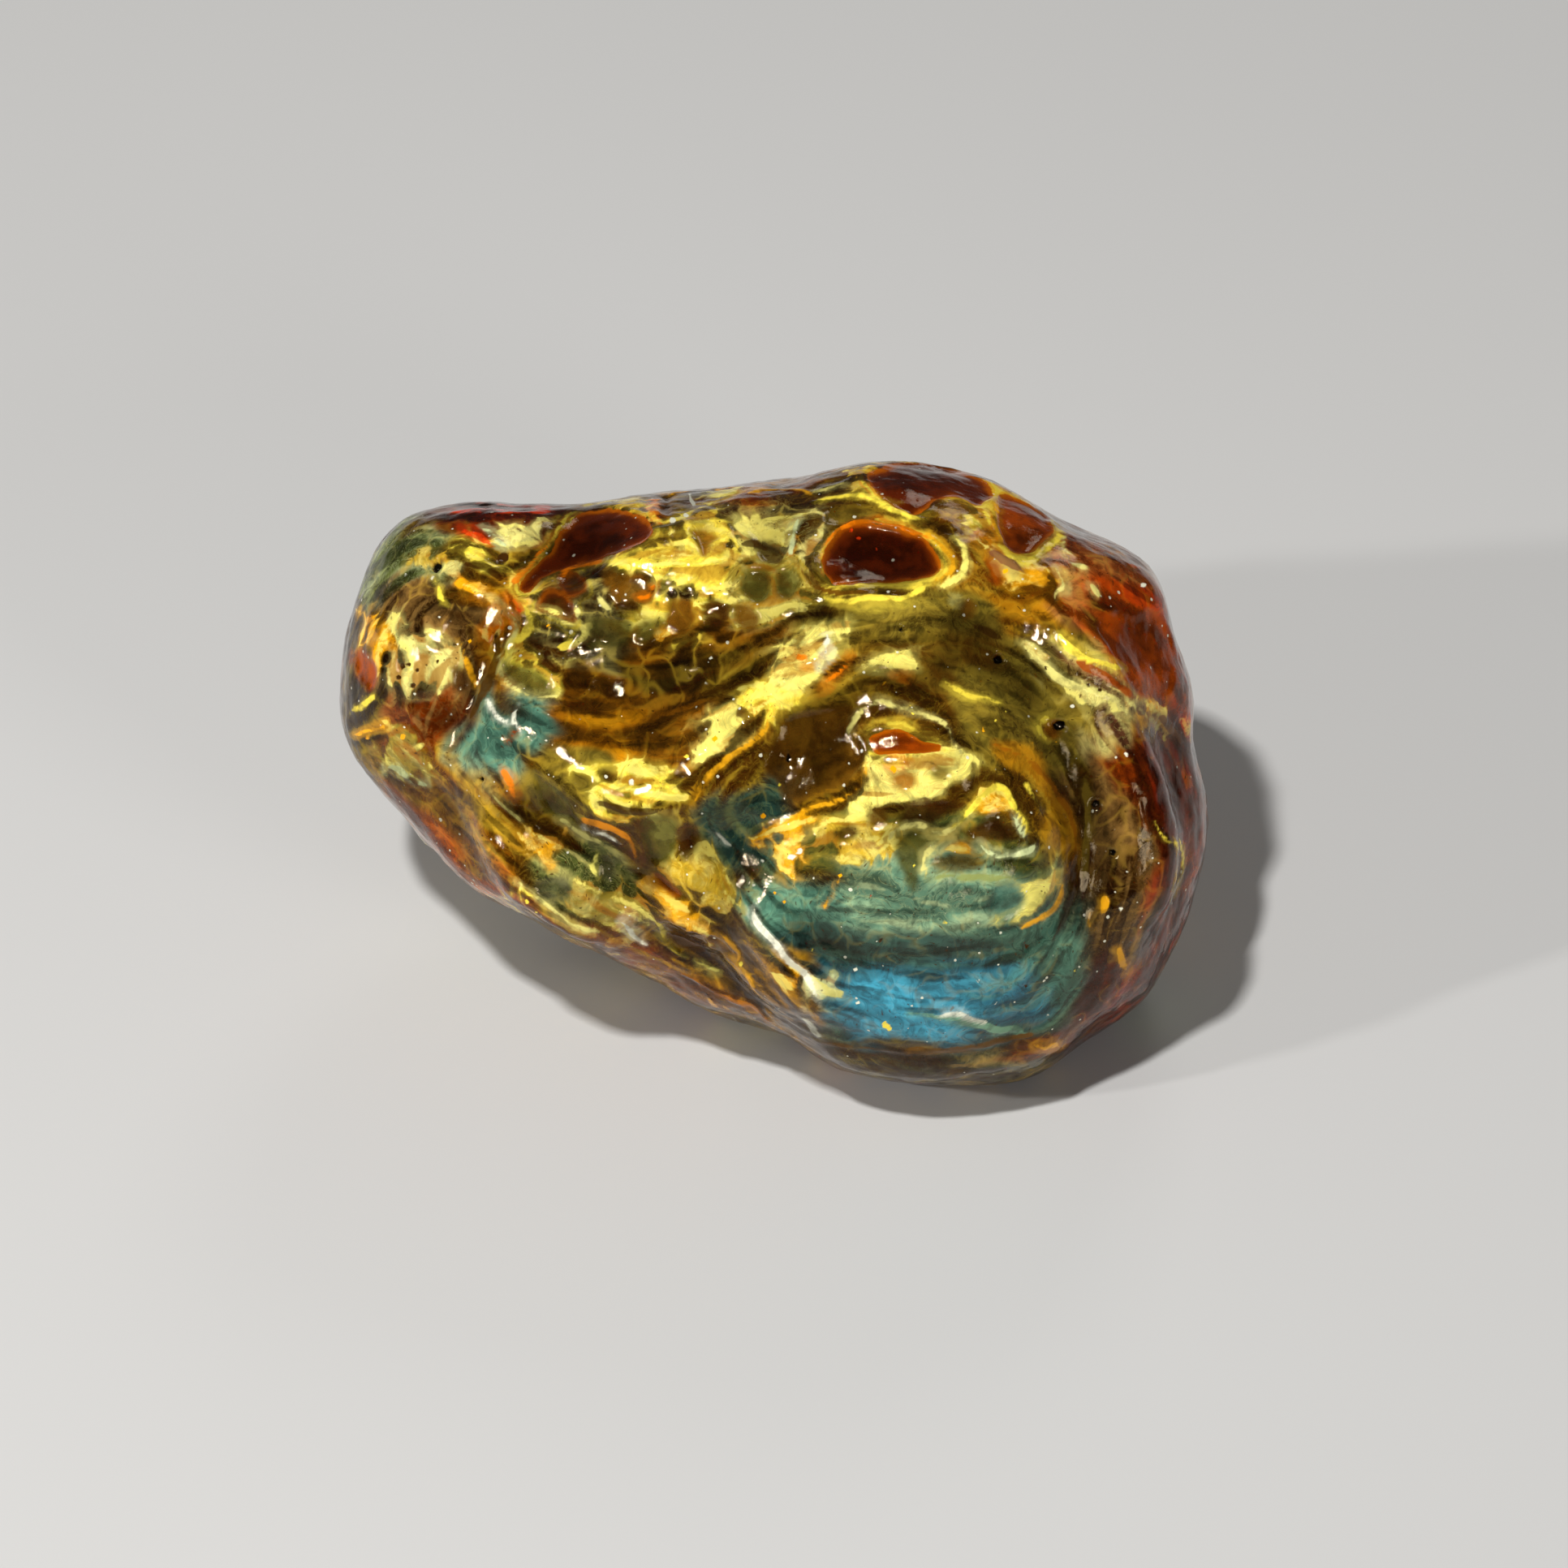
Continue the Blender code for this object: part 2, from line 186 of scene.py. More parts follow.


# A line or outline starts at its first place and goes on by steps, each right and down from the last.

# Broad grounds, later over earlier: tint, tint of the wisps in it and how many, how see-through, softness
# of the edge, outline.
# the two grounds with red wisps along the right rim, from 1330,735 and 1430,905, are partly the resin's own
# red and partly a painted glow of light through the thin edge
grounds = readRows("""
brown mustard 0.5 0.3 30 380,540 1140,0 0,820 -1140,0
umber khaki 0.6 0.35 16 405,760 65,-20 30,30 -18,50 2,80 -54,40 -25,-40
fern pale 0.7 0.1 12 445,715 25,-60 60,-15 32,24 -17,36 -25,35 -60,10
maroon rust 0.4 0.75 9 500,600 200,10 -10,42 -90,8 -80,-15
honey gold 0.7 0.1 16 560,735 80,-5 10,60 -40,60 -50,10 -15,-60
umber tan 0.6 0.2 12 462,745 58,-20 70,25 8,90 -28,45 -70,0 -45,-35
rust tan 0.6 0.3 14 480,860 80,5 40,35 -40,60 -60,-10 -30,-30
amber mustard 0.7 0.25 16 520,930 80,20 40,90 -20,50 -60,-10 -60,-70
rust orange 0.5 0.5 12 480,970 40,15 70,75 70,50 -20,25 -100,-55 -70,-90
teal sea 0.5 0.1 16 596,840 54,18 40,7 12,25 -2,28 -60,27 -40,3 -38,-10 4,-33 22,-20
wine rust 0.3 0.85 7 636,735 -4,-13 18,-18 33,-44 17,-20 40,-16 60,12 0,29 -60,25 -40,16 -28,22
brown honey 0.5 0.3 14 650,780 150,20 70,60 -20,90 -90,-20 -70,10 -20,-80
umber cream 0.4 0.35 10 645,730 55,-30 100,-10 70,40 -10,60 -80,25 -90,0 -45,-35
umber olive 0.5 0.45 12 780,805 70,-5 22,30 -22,20 -50,0
honey ember 0.6 0.15 14 705,900 40,-12 40,17 -20,30 -50,-5
olive khaki 0.7 0.15 12 690,930 50,0 5,70 -35,40 -40,-40 -10,-50
fern cream 0.8 0.08 12 640,1060 100,-30 60,50 0,50 -70,15 -50,-25
brown honey 0.6 0.35 14 770,740 130,-2 60,32 -10,30 -90,0 -60,0
brown cream 0.8 0.3 14 890,625 120,-13 0,88 -25,60 -80,0
olive mustard 0.8 0.12 10 905,690 85,-10 10,60 -40,25 -55,-5
rust gold 0.7 0.55 9 850,590 160,-8 30,18 -40,22 -100,0 -50,-7
maroon orange 0.4 0.75 9 1050,560 110,0 90,30 -10,35 -60,15 -60,-5 -70,-20
amber mustard 0.8 0.25 12 1130,625 105,0 10,75 -20,45 -65,0 5,-55
amber gold 0.6 0.35 12 1235,605 95,35 0,120 -90,10 -15,-70
rust tan 0.7 0.3 14 1305,640 95,15 40,65 0,40 -110,10 -30,-30
rust red 0.5 0.45 10 1330,735 110,0 60,125 -10,55 -70,-45 -35,-30 -30,-50
olive khaki 0.8 0.2 14 1000,740 200,5 30,45 -110,10 -120,-10
brown olive 0.7 0.25 14 1100,790 130,0 10,80 -110,0 -35,-30
olive khaki 0.8 0.12 14 1180,880 60,-80 90,0 20,50 -10,110 -80,10 -60,-30
mauve cream 0.8 0.1 12 1290,800 110,40 40,60 -10,60 -80,-20 -20,-90
maroon rust 0.7 0.4 14 1350,950 150,-50 0,360 -170,80 -40,-60 40,-130
umber tan 0.5 0.3 12 1310,960 40,-10 70,60 10,140 -100,50 -20,-70 20,-90
maroon red 0.4 0.5 12 1430,905 70,0 0,235 -100,130 -100,70 -15,-50 115,-90 40,-120
brown gold 0.6 0.4 10 1235,930 35,0 55,80 0,50 -25,80 -10,-80 -40,-70
fern khaki 0.8 0.1 14 930,1010 150,-10 160,10 60,50 -10,50 -160,0 -170,-30
pond sage 0.7 0.1 14 870,980 90,-20 30,50 -30,50 -80,0 -30,-40
teal sea 0.7 0.12 22 930,1080 370,0 0,210 -300,0 -40,-90
sea pale 0.5 0.1 24 1040,1060 160,0 60,40 -40,50 -120,0 -60,-30
pond teal 0.6 0.1 22 1000,1175 290,-5 0,120 -190,10 -90,-40
deepBlue teal 0.6 0.1 24 1000,1190 100,-10 140,10 50,50 -50,45 -140,15 -90,-40
blue deepBlue 0.6 0.1 26 1030,1205 70,-15 80,15 20,45 -40,40 -80,-5 -50,-40
dusk pond 0.6 0.12 12 955,1140 165,5 170,-5 -5,30 -125,8 -70,8 -120,-14
umber slate 0.6 0.35 10 990,1280 180,10 130,-5 20,55 -160,5 -160,-25
slate tan 0.5 0.15 10 1160,1292 130,-2 0,40 -120,5
rust mustard 0.7 0.45 12 640,1120 100,20 160,20 30,90 -60,-10 -150,-60 -100,-50
umber gold 0.7 0.4 12 800,1140 105,10 95,45 10,95 -70,-25 -80,-50
umber rust 0.6 0.45 14 1240,1262 100,0 -10,43 -80,-5
""", 5)

# Foamy stretches, where pale walls part small dark cells: how strong, then an outline.
foams = readRows("""
0.5 470,690 90,-30 100,30 40,70 -10,90 -80,10 -70,-100 -70,0
1 640,740 60,-35 90,-15 90,30 20,80 -40,60 -100,10 -90,-40
0.6 640,900 120,30 100,30 0,90 -120,0 -100,-50
0.8 780,1040 140,10 0,130 -60,10 -100,-40 -120,-40 60,-40
0.7 860,620 150,0 0,140 -110,0
0.5 1080,960 210,-20 10,150 -200,0 -60,-60
0.3 1160,800 180,-10 30,170 -140,-30
0.3 1140,620 190,0 10,120 -140,30
0.6 700,1180 200,10 110,90 -150,-40
""", 1)

# Cloudy masses: tint, then an outline.
# the pale cloud at 990,1205 stands for a painted highlight
clouds = readRows("""
mustard 505,690 10,-10 30,0 7,12 -22,4
cream 625,650 20,4 23,-14 4,6 -12,16 -20,5 -10,-7
yellow 556,686 9,-11 25,-2 15,11 23,26 -10,-4 -33,-16 -15,-3
cream 546,697 16,-6 8,9 -14,16 -8,-8
ember 560,712 12,-7 14,7 17,18 -13,5 -28,-9
cream 482,765 10,-5 8,15 20,3 25,22 15,0 8,15 -3,15 -10,15 -30,13 -7,7 -18,-3 -22,-22 -3,-10 5,-15 10,-15
 -2,-15
ember 452,755 23,10 10,20 7,15 -12,15 -10,15 -10,-15 -5,-20 -5,-20
orange 605,750 13,-5 14,25 -10,10 -14,10 -8,-5
red 620,735 20,-2 8,12 -8,13 -8,-8
lemon 722,764 6,4 -10,17 -12,21 -9,-8 6,-13
yellow 618,790 22,-5 10,10 10,20 20,13 6,24 -14,-12 -17,-15 -15,-5 -15,-2 -10,-13
mustard 742,622 23,-8 35,-2 -15,10 15,18 -20,-4 -15,-6
orange 795,620 20,2 3,18 -18,2
yellow 861,625 17,-3 10,12 15,11 5,10 -4,15 6,12 -5,18 -5,35 -15,0 -13,3 -10,-3 -4,-13 -13,-6 -20,-1 -10,7
 -15,-17 -15,-3 -15,-2 -8,-10 18,-10 20,-5 30,-7 20,-8 -10,-10 -25,0 -13,-5 33,-5
lemon 905,640 17,12 13,16 -10,12 20,10 13,10 -6,8 -22,-8 -18,4 -6,-14 6,-14 -8,-16
khaki 935,640 40,-8 15,18 -10,40 -20,-6 -15,-16
yellow 762,758 23,-1 15,-9 15,-10 7,5 -10,14 -12,5 -20,4
gold 803,782 17,-10 6,8 -21,12
yellow 875,768 -10,12 -15,12 -20,6 8,-8 17,-8
khaki 905,690 55,-8 30,-2 5,60 -35,22 -55,-4
cream 486,775 14,-7 12,22 -6,16 14,-6 12,-2 -6,17 19,-3 15,-6 -4,20 -16,6 8,14 -22,4 -8,-12 -14,12 -10,-4
 6,-16 -14,-4 -6,-20 12,-6
lemon 1000,775 15,-7 20,0 5,10 -15,12 -13,35 -12,15 -15,8 -15,-3 -20,-17 5,-8 -3,-12 13,-11 30,-12
yellow 905,850 20,-5 20,10 40,0 -10,15 -20,5 -10,15 -15,-10 -15,-15
lemon 866,895 9,-15 25,-14 18,12 6,12 -4,15 -8,13 -22,17 -18,3 -10,-3 -6,-10 6,-20
mustard 1045,582 15,-7 18,-2 2,7 -14,14 9,16 -15,2 -15,-14
cream 1002,628 18,4 -5,18 5,15 -15,25 7,15 -17,-5 -13,-15 3,-15 15,-20
lemon 1067,820 18,-8 35,-6 -10,9 -20,6
honey 1200,625 25,-17 7,4 -4,33 12,35 -15,-8 -25,-17 -2,-15
yellow 1190,632 25,-2 7,20 -27,2
gold 1240,690 50,2 6,28 -36,10 -24,-15
cream 1262,790 23,2 35,46 60,14 20,20 -50,-6 -50,-26
gold 1412,855 18,20 20,35 -25,-12 -13,-3 -10,-13 12,-6
red 1462,885 13,5 3,10 -10,8 -8,-10
lemon 1058,918 12,14 30,4 40,-6 25,-8 27,14 7,19 -9,17 -18,-4 -22,8 -22,16 -24,-8 -19,12 -15,16 2,16
 -14,-2 -18,-24 8,-18 14,-10 8,-19 -8,-17
mustard 1020,1012 80,8 -2,30 -38,12 -60,-14
orange 1086,942 14,-8 22,4 -4,12 -20,6
ember 990,1000 -45,15 -20,25 20,-2 15,-3 5,25 13,20 12,-20 10,-10 -5,-15
gold 1210,978 18,-6 14,3 2,21 -32,4
gold 1175,1030 20,0 1,15 -18,1
lemon 1270,1080 15,-5 12,5 1,15 -18,30 -35,18 -13,-3 18,-8 16,-27 -2,-13
pale 990,1205 30,-7 15,7 5,10 -20,20 -15,-5 -13,-10
khaki 470,905 30,-5 30,30 -10,25 -40,-5
yellow 628,1094 12,2 8,6 -2,4 -10,-4
gold 645,1025 15,-10 40,10 -2,15 -18,20 -12,-2 -23,-20
yellow 710,945 15,5 15,35 20,10 30,-5 40,-5 5,-10 -5,-15 -15,-10 -30,-10 -15,5 -15,15 -10,-5 -10,-10
yellow 730,980 10,5 5,15 33,8 -8,9 -35,-7 -7,-10
lemon 812,1012 16,0 2,14 -12,4 -7,-8
mustard 803,1068 12,10 23,14 12,16 25,22 15,0 15,-10 -5,-20 -20,-35 -10,-20 -15,0 -25,17
gold 785,1075 15,-5 20,30 25,10 35,40 -12,10 -28,-20 -40,-25 -20,-25
khaki 700,1095 40,-10 50,15 10,30 -60,5 -40,-15
tan 745,1155 20,-33 10,-4 15,32 -15,15 -20,3
gold 960,1195 25,3 -1,16 -22,-2
""", 1)

# Glassy windows and cells: tint, how see-through, then an outline.
windows = readRows("""
maroon 0.8 640,722 12,-17 24,-21 14,-29 22,-21 28,-9 35,5 23,10 4,18 -12,10 -30,14 -35,10 -30,12 -27,12
 -18,12
moss 0.5 618,815 10,4 40,9 16,28 -29,-1 -15,-10 -15,-7 -8,-10
rust 0.5 437,803 13,2 12,15 3,15 -10,15 -10,-10 -8,-20
umber 0.5 560,825 15,2 2,21 -15,2
umber 0.6 660,745 12,-17 18,0 15,17 5,17 -10,3 -20,-10 -15,-3
umber 0.6 690,712 15,-7 17,7 3,10 -13,10 -17,3
brown 0.5 765,705 25,0 15,20 -5,15 -15,5 -17,0 -10,-10 -16,-25 10,-10
brown 0.5 820,750 10,-12 15,2 10,15 -2,15 -13,10 -12,-2 -10,-13
moss 0.4 782,775 30,-15 8,10 -12,10 -8,10 -10,5 -10,-7
moss 0.4 730,765 15,-8 30,8 3,15 -6,15 -12,5 -20,-5 -15,5
umber 0.5 811,618 13,0 3,14 -12,3 -6,-7
amber 0.5 850,655 15,-5 19,12 -10,10 -2,13 -6,1 -6,-14
moss 0.45 920,706 18,-4 12,16 -4,22 -18,2 -13,-16
umber 0.45 930,672 20,-4 15,12 -5,14 -18,-4
moss 0.45 958,706 17,-6 10,16 -5,20 -16,2 -9,-16
umber 0.5 870,742 16,-2 10,12 -6,16 -14,2 -10,-12
brown 0.5 905,750 20,-2 11,12 -8,16 -18,-2
maroon 0.8 1068,590 12,-12 50,-10 40,7 55,28 -20,17 -20,-5 -25,-3 -35,23 -30,-17
olive 0.5 1018,635 12,-10 20,-3 28,10 -18,6 -38,7
maroon 0.78 1015,700 0,-15 10,-20 15,-15 20,-8 40,8 35,10 25,40 -30,14 -40,3 -55,3 -13,-8
rust 0.75 1232,612 13,-4 55,27 8,5 -8,10 -25,28 -17,4 -13,-2 -10,-15 -7,-37
rust 0.45 1215,690 17,2 8,20 -15,6
brown 0.5 1184,744 12,-4 5,15 -11,8 -7,-7
rust 0.72 1075,905 35,-7 30,17 20,5 -10,8 -60,2 -12,-5
brown 0.5 975,885 55,-13 30,8 -10,25 15,15 -3,25 -22,25 -55,20 -20,-5 -10,-20 -15,-15 5,-20 15,-25
brown 0.5 1070,1000 15,-5 10,8 -2,12 -13,5 -10,-5
amber 0.45 1098,960 14,-8 16,6 -2,12 -18,4
olive 0.45 1150,948 14,-4 8,8 -10,10 -12,-4
umber 0.5 1030,1022 16,-6 10,10 -12,10 -12,-2
umber 0.5 1110,1010 20,-20 50,0 -15,15 -15,13 -20,0
moss 0.4 1105,1040 15,-15 28,10 -10,25 -10,38 -10,-8 -3,-15 -10,-15
olive 0.3 1150,1060 15,-8 40,3 5,13 -45,6 -17,-4
umber 0.5 1196,1022 24,-14 15,2 13,20 -8,8 -35,-3 -10,-5
pond 0.3 1225,1095 20,-7 17,22 -7,15 -15,8 -15,-3 -10,-15
moss 0.4 655,950 35,25 20,30 -10,10 -20,-10 -12,-20
slate 0.3 660,1088 35,-6 5,26 -30,4
slate 0.3 740,1058 12,-3 5,20 -9,10 -10,-7
moss 0.5 790,1010 42,2 3,33 -15,17 -20,-4
umber 0.5 835,1020 23,-2 2,22 -15,18 -9,-13
umber 0.6 806,1075 14,8 18,17 -6,4 -17,-12
brown 0.5 820,1135 40,15 10,8 -2,12 -33,0 -13,-12 -6,-13
umber 0.5 872,1155 23,5 7,15 -22,3
amber 0.5 1284,887 20,1 0,19 -18,1
rust 0.5 1352,770 20,-18 28,8 20,-8 20,18 10,30 -6,50 -20,12 -24,-12 -15,-20 -17,-30
""", 2)

# Veins, seams and rims: tint, half their width, then the line. The white lines are painted highlights along
# crests.
veins = readRows("""
red 2.8 555,635 35,-3 50,0 40,-4
red 4.5 570,655 20,3 12,10
pale 3 594,650 14,10 16,12
wine 5 570,693 30,8 15,14
yellow 4 537,715 8,20 7,10
cream 3 605,735 15,10 15,15 3,15 -8,15 -8,10
yellow 5.5 640,740 10,10 5,15 -10,15 -10,10
orange 2.8 680,662 -8,13 -17,20 -15,13 -8,10
orange 3 740,690 -25,7 -15,8 -15,15 -17,5
lemon 2.8 660,748 20,4 10,11 15,5
cream 2.8 708,742 4,16
yellow 3 710,768 -10,22 -10,10
cream 2.8 616,808 -2,17 8,13 16,12 17,8 29,0
rust 2.8 640,895 -10,10 -5,10
yellow 3 432,878 13,-10 13,-6 12,0
ember 2.8 440,905 20,-5 15,-5
gold 3 565,790 10,25 10,20 5,15
brown 4.5 612,780 3,20 -10,30 -10,30 -15,25
gold 4.5 825,615 25,-10 30,-3 30,-2
lemon 2.8 875,615 20,-7 15,-8
gold 2.8 920,607 40,-7 40,7
brown 2.8 742,705 13,10 5,20 2,20
cream 3 738,735 7,10 10,10 7,2
orange 2.8 785,737 15,0 5,-15
pale 2.8 985,640 -5,20 -5,20
umber 3.5 915,672 15,-2 15,4
orange 3 978,800 10,12 12,10
white 2.8 1020,785 0,15 -10,20
gold 4 950,880 -10,20 -15,15 -20,13 -15,12 -18,20 -10,15 -7,15
cream 2.8 1045,590 -15,10 -30,5
yellow 3 1000,618 30,-5 30,-3 20,5 20,10 25,13 15,2
orange 2.8 1015,712 -2,-22 9,-25 18,-17 22,-7 38,7 36,9 12,18 14,27
yellow 2.8 1015,718 15,6 30,-2 30,0 30,2 30,-12 15,-12
brown 2.8 985,700 15,22 10,3 30,5 40,-2 30,2
yellow 3.5 1000,735 40,5 40,-3 30,1 30,-13
gold 5 1142,655 18,20 14,15 -4,15 -20,11
lemon 5 1175,660 15,20 -5,25 -25,17
gold 3 1230,612 -4,33 10,23
yellow 4.5 1240,686 15,5 15,-1 15,-10 15,-15 15,-15
ember 4 1255,702 15,4 18,4
mauve 3 1225,680 20,15 15,10
cream 4 1172,740 10,4
orange 3 1050,810 -20,20 -20,20
umber 5 1200,772 35,16
yellow 2.8 1165,840 25,15 25,7 20,8
orange 3 1100,830 12,4 8,8
cream 2.8 1315,655 -5,20 15,10
cream 2.8 1300,700 10,20 -8,10 -2,10
cream 2.8 1320,695 20,5
cream 2.8 1345,722 10,13
rust 4 1390,690 25,6 17,29
yellow 3.5 1306,780 8,14 21,17 40,9 10,3
cream 5 1275,797 20,25 25,20 30,10 30,11
rust 6 1330,817 40,20 30,23
mauve 5 1430,885 20,20 5,10
yellow 2.8 1290,882 -8,8 0,12 8,10
amber 2.8 1225,915 25,10 20,15 20,20 15,20 13,25 7,25 0,20 -7,20 -8,15
yellow 2.8 1262,965 10,15 13,18
wine 3 1318,1060 4,30 -12,40 -15,30
wine 2.8 1345,1040 -5,40 -5,30
olive 4 1337,960 4,60 -4,60
gold 5 1358,1104 3,8 -3,10
gold 2.8 1344,1125 -1,15 2,10
yellow 2.8 1425,1010 13,25 10,10 6,15 1,15 -10,25
rust 3 1402,985 6,20 4,15
gold 2.8 1378,1170 5,15 5,15
gold 3.6 990,1000 30,-10 20,-8 15,-12 10,-15 0,-15
cream 2.8 1045,905 15,-25 20,-15 30,5 30,10 25,15 13,20 7,15
cream 4 1095,1035 15,-13 20,-4 15,4 20,3 15,-10 15,-13
cream 2.8 1140,1080 -2,-20 12,-15 25,-5
yellow 2.8 1175,1020 20,-20 15,-18 18,-12 14,2 6,18 14,22 3,13
pale 4.5 1205,1040 15,12 20,3 18,-3 14,-7
pale 3.5 1250,1005 8,15 4,10
sage 2.8 1140,1085 30,-7 40,4 40,0 25,-7 20,-3
gold 3 1300,1080 8,15 -8,20 -15,15 -25,13
sea 4 1120,1245 50,7 40,10 20,8 30,-2
gold 2.8 1035,1080 -10,20 -7,15 0,10
white 2.8 930,1115 8,25 12,18 25,27 15,15 20,35
white 2.8 1155,1248 20,0 20,5 20,7
pale 2.8 475,955 3,-10 12,0 10,10 10,10 15,0
cream 2.8 585,955 15,15 15,15 15,15 10,10
orange 2.8 620,950 8,15 6,20
cream 4.5 690,1010 25,15 25,10
cream 3.4 640,1085 20,15 20,18 20,17 20,10 15,3
lemon 2.8 735,1050 -5,15 2,15 6,8
umber 2.8 740,990 30,10 30,0 30,-5
honey 4 720,1010 30,10 20,10 10,15 5,15
white 2.8 718,1018 30,11 18,11
yellow 2.8 812,1140 6,15 12,15 15,8
gold 2.8 880,1145 20,15 10,15 -5,15
white 2.8 765,1130 10,12 15,18 10,5
honey 2.8 840,1200 20,10 40,20 30,10 20,15
gold 2.8 870,1225 10,10 20,5
lemon 2.8 855,1182 20,10 10,5
gold 2.8 920,1200 10,18
gold 2.8 945,1240 15,15 8,7
white 2.8 985,1248 15,14 10,13
brown 3 1010,1285 110,10 80,-5 70,-15
gold 2.8 1275,1288 13,2 12,-4
white 2.8 880,1022 10,12 15,10
white 2.8 601,862 11,18 13,12
white 2.8 640,866 -8,18 8,16
""", 2)

# Lines that the streaks in the resin run along.
currents = readRows("""
440,720 60,-70 100,-10 100,5 100,-15 100,-20 150,-10 150,0 130,50 90,70 50,130
432,880 18,-60 30,-50 40,-35 40,-20
580,715 28,45 2,60 -20,60 -40,50
520,800 -45,-20
520,800 40,-10
520,810 -5,60
515,800 -5,-50
560,760 80,-20 120,5 100,15 100,-15 120,0 120,10 100,35 100,60 60,60
640,800 80,20 110,15 100,-35 70,-40
600,860 80,40 100,0 80,-40 70,-40 70,-30 100,-15 120,15 80,50 50,90
860,990 40,-60 60,-50
1230,860 70,60 40,80 0,80 -30,80 -80,110
1090,800 60,60 80,40
1060,920 40,-20 50,-10
1080,1000 40,60 20,40
470,950 90,90 80,60 100,50 110,40 100,50 100,50 130,30 120,0
580,930 60,70 80,60 80,30 80,50 70,50 60,80
700,930 80,30 80,20 20,60 20,60 60,80
960,1000 80,-25 80,0
1000,1060 100,15 100,-25 90,50
950,1150 100,0 130,15 110,-15
1020,1230 80,10 100,10 90,-20
1340,830 50,90 20,80 0,90 -40,100 -70,110
1360,770 70,60 40,100 10,100 -40,120 -60,100
""", 0)

# Small things: tint, depth from 0 for a fleck to 1 for a pit, then place and half width of each. The white
# ones are painted glints.
# the black specks are sunk as pits and painted near black inside
specks = readRows("""
black 1 536,695,6 1112,772,3.5 1231,812,6 1307,894,7 1350,992,4.5 1370,1053,4 970,935,4 593,963,4
umber 0.3 620,685,7 497,820,4 505,818,3 493,835,4 515,825,3 538,815,3 560,795,3 510,845,4 612,784,3
 611,793,3 612,801,3 1266,1166,3 1266,1217,3 1330,832,3 1340,845,3 1355,850,3 1290,822,3 1085,1160,3
ember 0 497,908,3.5 675,770,3 455,908,3 880,912,4 1240,705,3 940,1005,4 1100,948,5 1035,1080,3 965,1112,2
 955,1100,2 580,792,3 585,825,2 1090,842,3 1213,898,3 1300,914,2 1270,914,2
red 0 1050,650,2 1058,660,2.5 1080,675,2 1060,1095,2.5 1075,1105,2.5
yellow 0 960,968,3.5 1127,1067,2.5 1164,1137,3 1000,1171,2 1090,1260,3.5 1096,1264,3 912,1188,3 647,1112,3
 660,1125,2 1325,1195,2 1125,878,2 1120,868,2 1240,880,2 1225,890,2 845,932,4 1455,826,3
white 0 501,708,2.5 533,711,2.5 828,641,4 845,633,3 857,618,3 872,843,2.5 877,812,2.5 1053,1195,3
 1200,1030,2.5 1215,1012,2 1225,1028,2 1243,1020,2 1056,1236,2.5 985,1048,4 975,1055,4 1018,890,2
 1030,915,2 1022,925,2 1010,900,2 780,965,4 795,975,4 1290,1250,2 1205,1210,2 1225,1235,2 690,925,2
 710,935,2 683,922,2 940,1060,2 950,1085,2 930,1090,2 1410,720,3 1388,930,3 1380,1120,3
""", 2)

paint = {
    "reach": 30.0,  # a field tells how far inside its edge a point is, up to this, in face units
    "flowReach": 60.0,
    "spanSteps": 5,  # how many parts the curve between two places has
    "wander": ((0.0016, 2.6), (0.0006, 1.1)),  # size in metres, how far in face units
    "groundWander": (0.0032, 12.0),
    "cloudWander": (0.0022, 6.0),
    "fray": 88.0,  # how far the streaks pull the edges of the grounds, and each streak's share of it
    "frayShares": (0.5, 0.35, 0.15),
    "foamEdge": 22,
    "corners": ((380.0, 540.0), (1520.0, 1360.0)),
    "flowCell": 10.0,
    "flowCore": 16.0,  # how near a line its own way wins over the others
    "flowWeights": (1.6, 1.0, 0.8, 0.4),  # of currents, veins, windows and clouds
    "currentStride": 4.0,
    "streaks": ((26.0, 14), (12.0, 12), (6.0, 10)),  # size of the blots drawn out, and for how many strides
    "streakSpread": 0.18,
    "plainGrow": 1.6,  # how much larger the blots are that aren't drawn out
    "sideWander": (0.0028, 16.0),
    "sideTurn": (0.08, 0.42),
    "backTurn": (-0.14, 0.16),
    "backMiddle": (950, 950),
    "tintDrift": 0.07,
    "hollowTurns": 60,
    "hollowDepth": 0.00012,
    "seed": 11,
    "noiseTable": 4096,
    "noiseKeys": (73856093, 19349663, 83492791),
}


def linearTint(name):
    shares = np.array(tints[name]) / 255
    return np.where(shares <= 0.04045, shares / 12.92, ((shares + 0.055) / 1.055) ** 2.4)


def ease(values, low, high):
    share = np.clip((values - low) / (high - low), 0, 1)
    return share * share * (3 - 2 * share)


def softNoise(points, size, seed):
    cells = points / size
    base = np.floor(cells).astype(np.int64)
    share = ease(cells - base, 0, 1)
    table = np.random.default_rng(seed).uniform(-1, 1, paint["noiseTable"])
    total = np.zeros(len(points))
    for corner in ((i, j, k) for i in (0, 1) for j in (0, 1) for k in (0, 1)):
        key = np.bitwise_xor.reduce((base + corner) * np.array(paint["noiseKeys"]), axis=1)
        weight = np.where(corner, share, 1 - share).prod(axis=1)
        total += table[key % paint["noiseTable"]] * weight
    return total


def wander(points, size, reach, seed):
    return reach * np.stack((softNoise(points, size, seed), softNoise(points, size, seed + 1)), axis=1)


def facePlaces(points, turn):
    offset = points - aimPoint
    grow = face["eyeDistance"] / (face["eyeDistance"] - offset @ outWay)
    right = face["aimPlace"][0] + offset @ acrossWay * grow / face["unit"]
    down = face["aimPlace"][1] - offset @ upWay * grow / face["unit"]
    places = np.stack((right, down), axis=1)
    for seed, (size, reach) in enumerate(paint["wander"]):
        places += wander(points, size, reach, paint["seed"] + 2 * seed)
    steep = 1 - ease(np.abs(turn), *paint["sideTurn"])
    return places + steep[:, None] * wander(points, *paint["sideWander"], paint["seed"] + 20)


def readPlaces(words):
    return np.array([[float(v) for v in word.split(",")] for word in words])


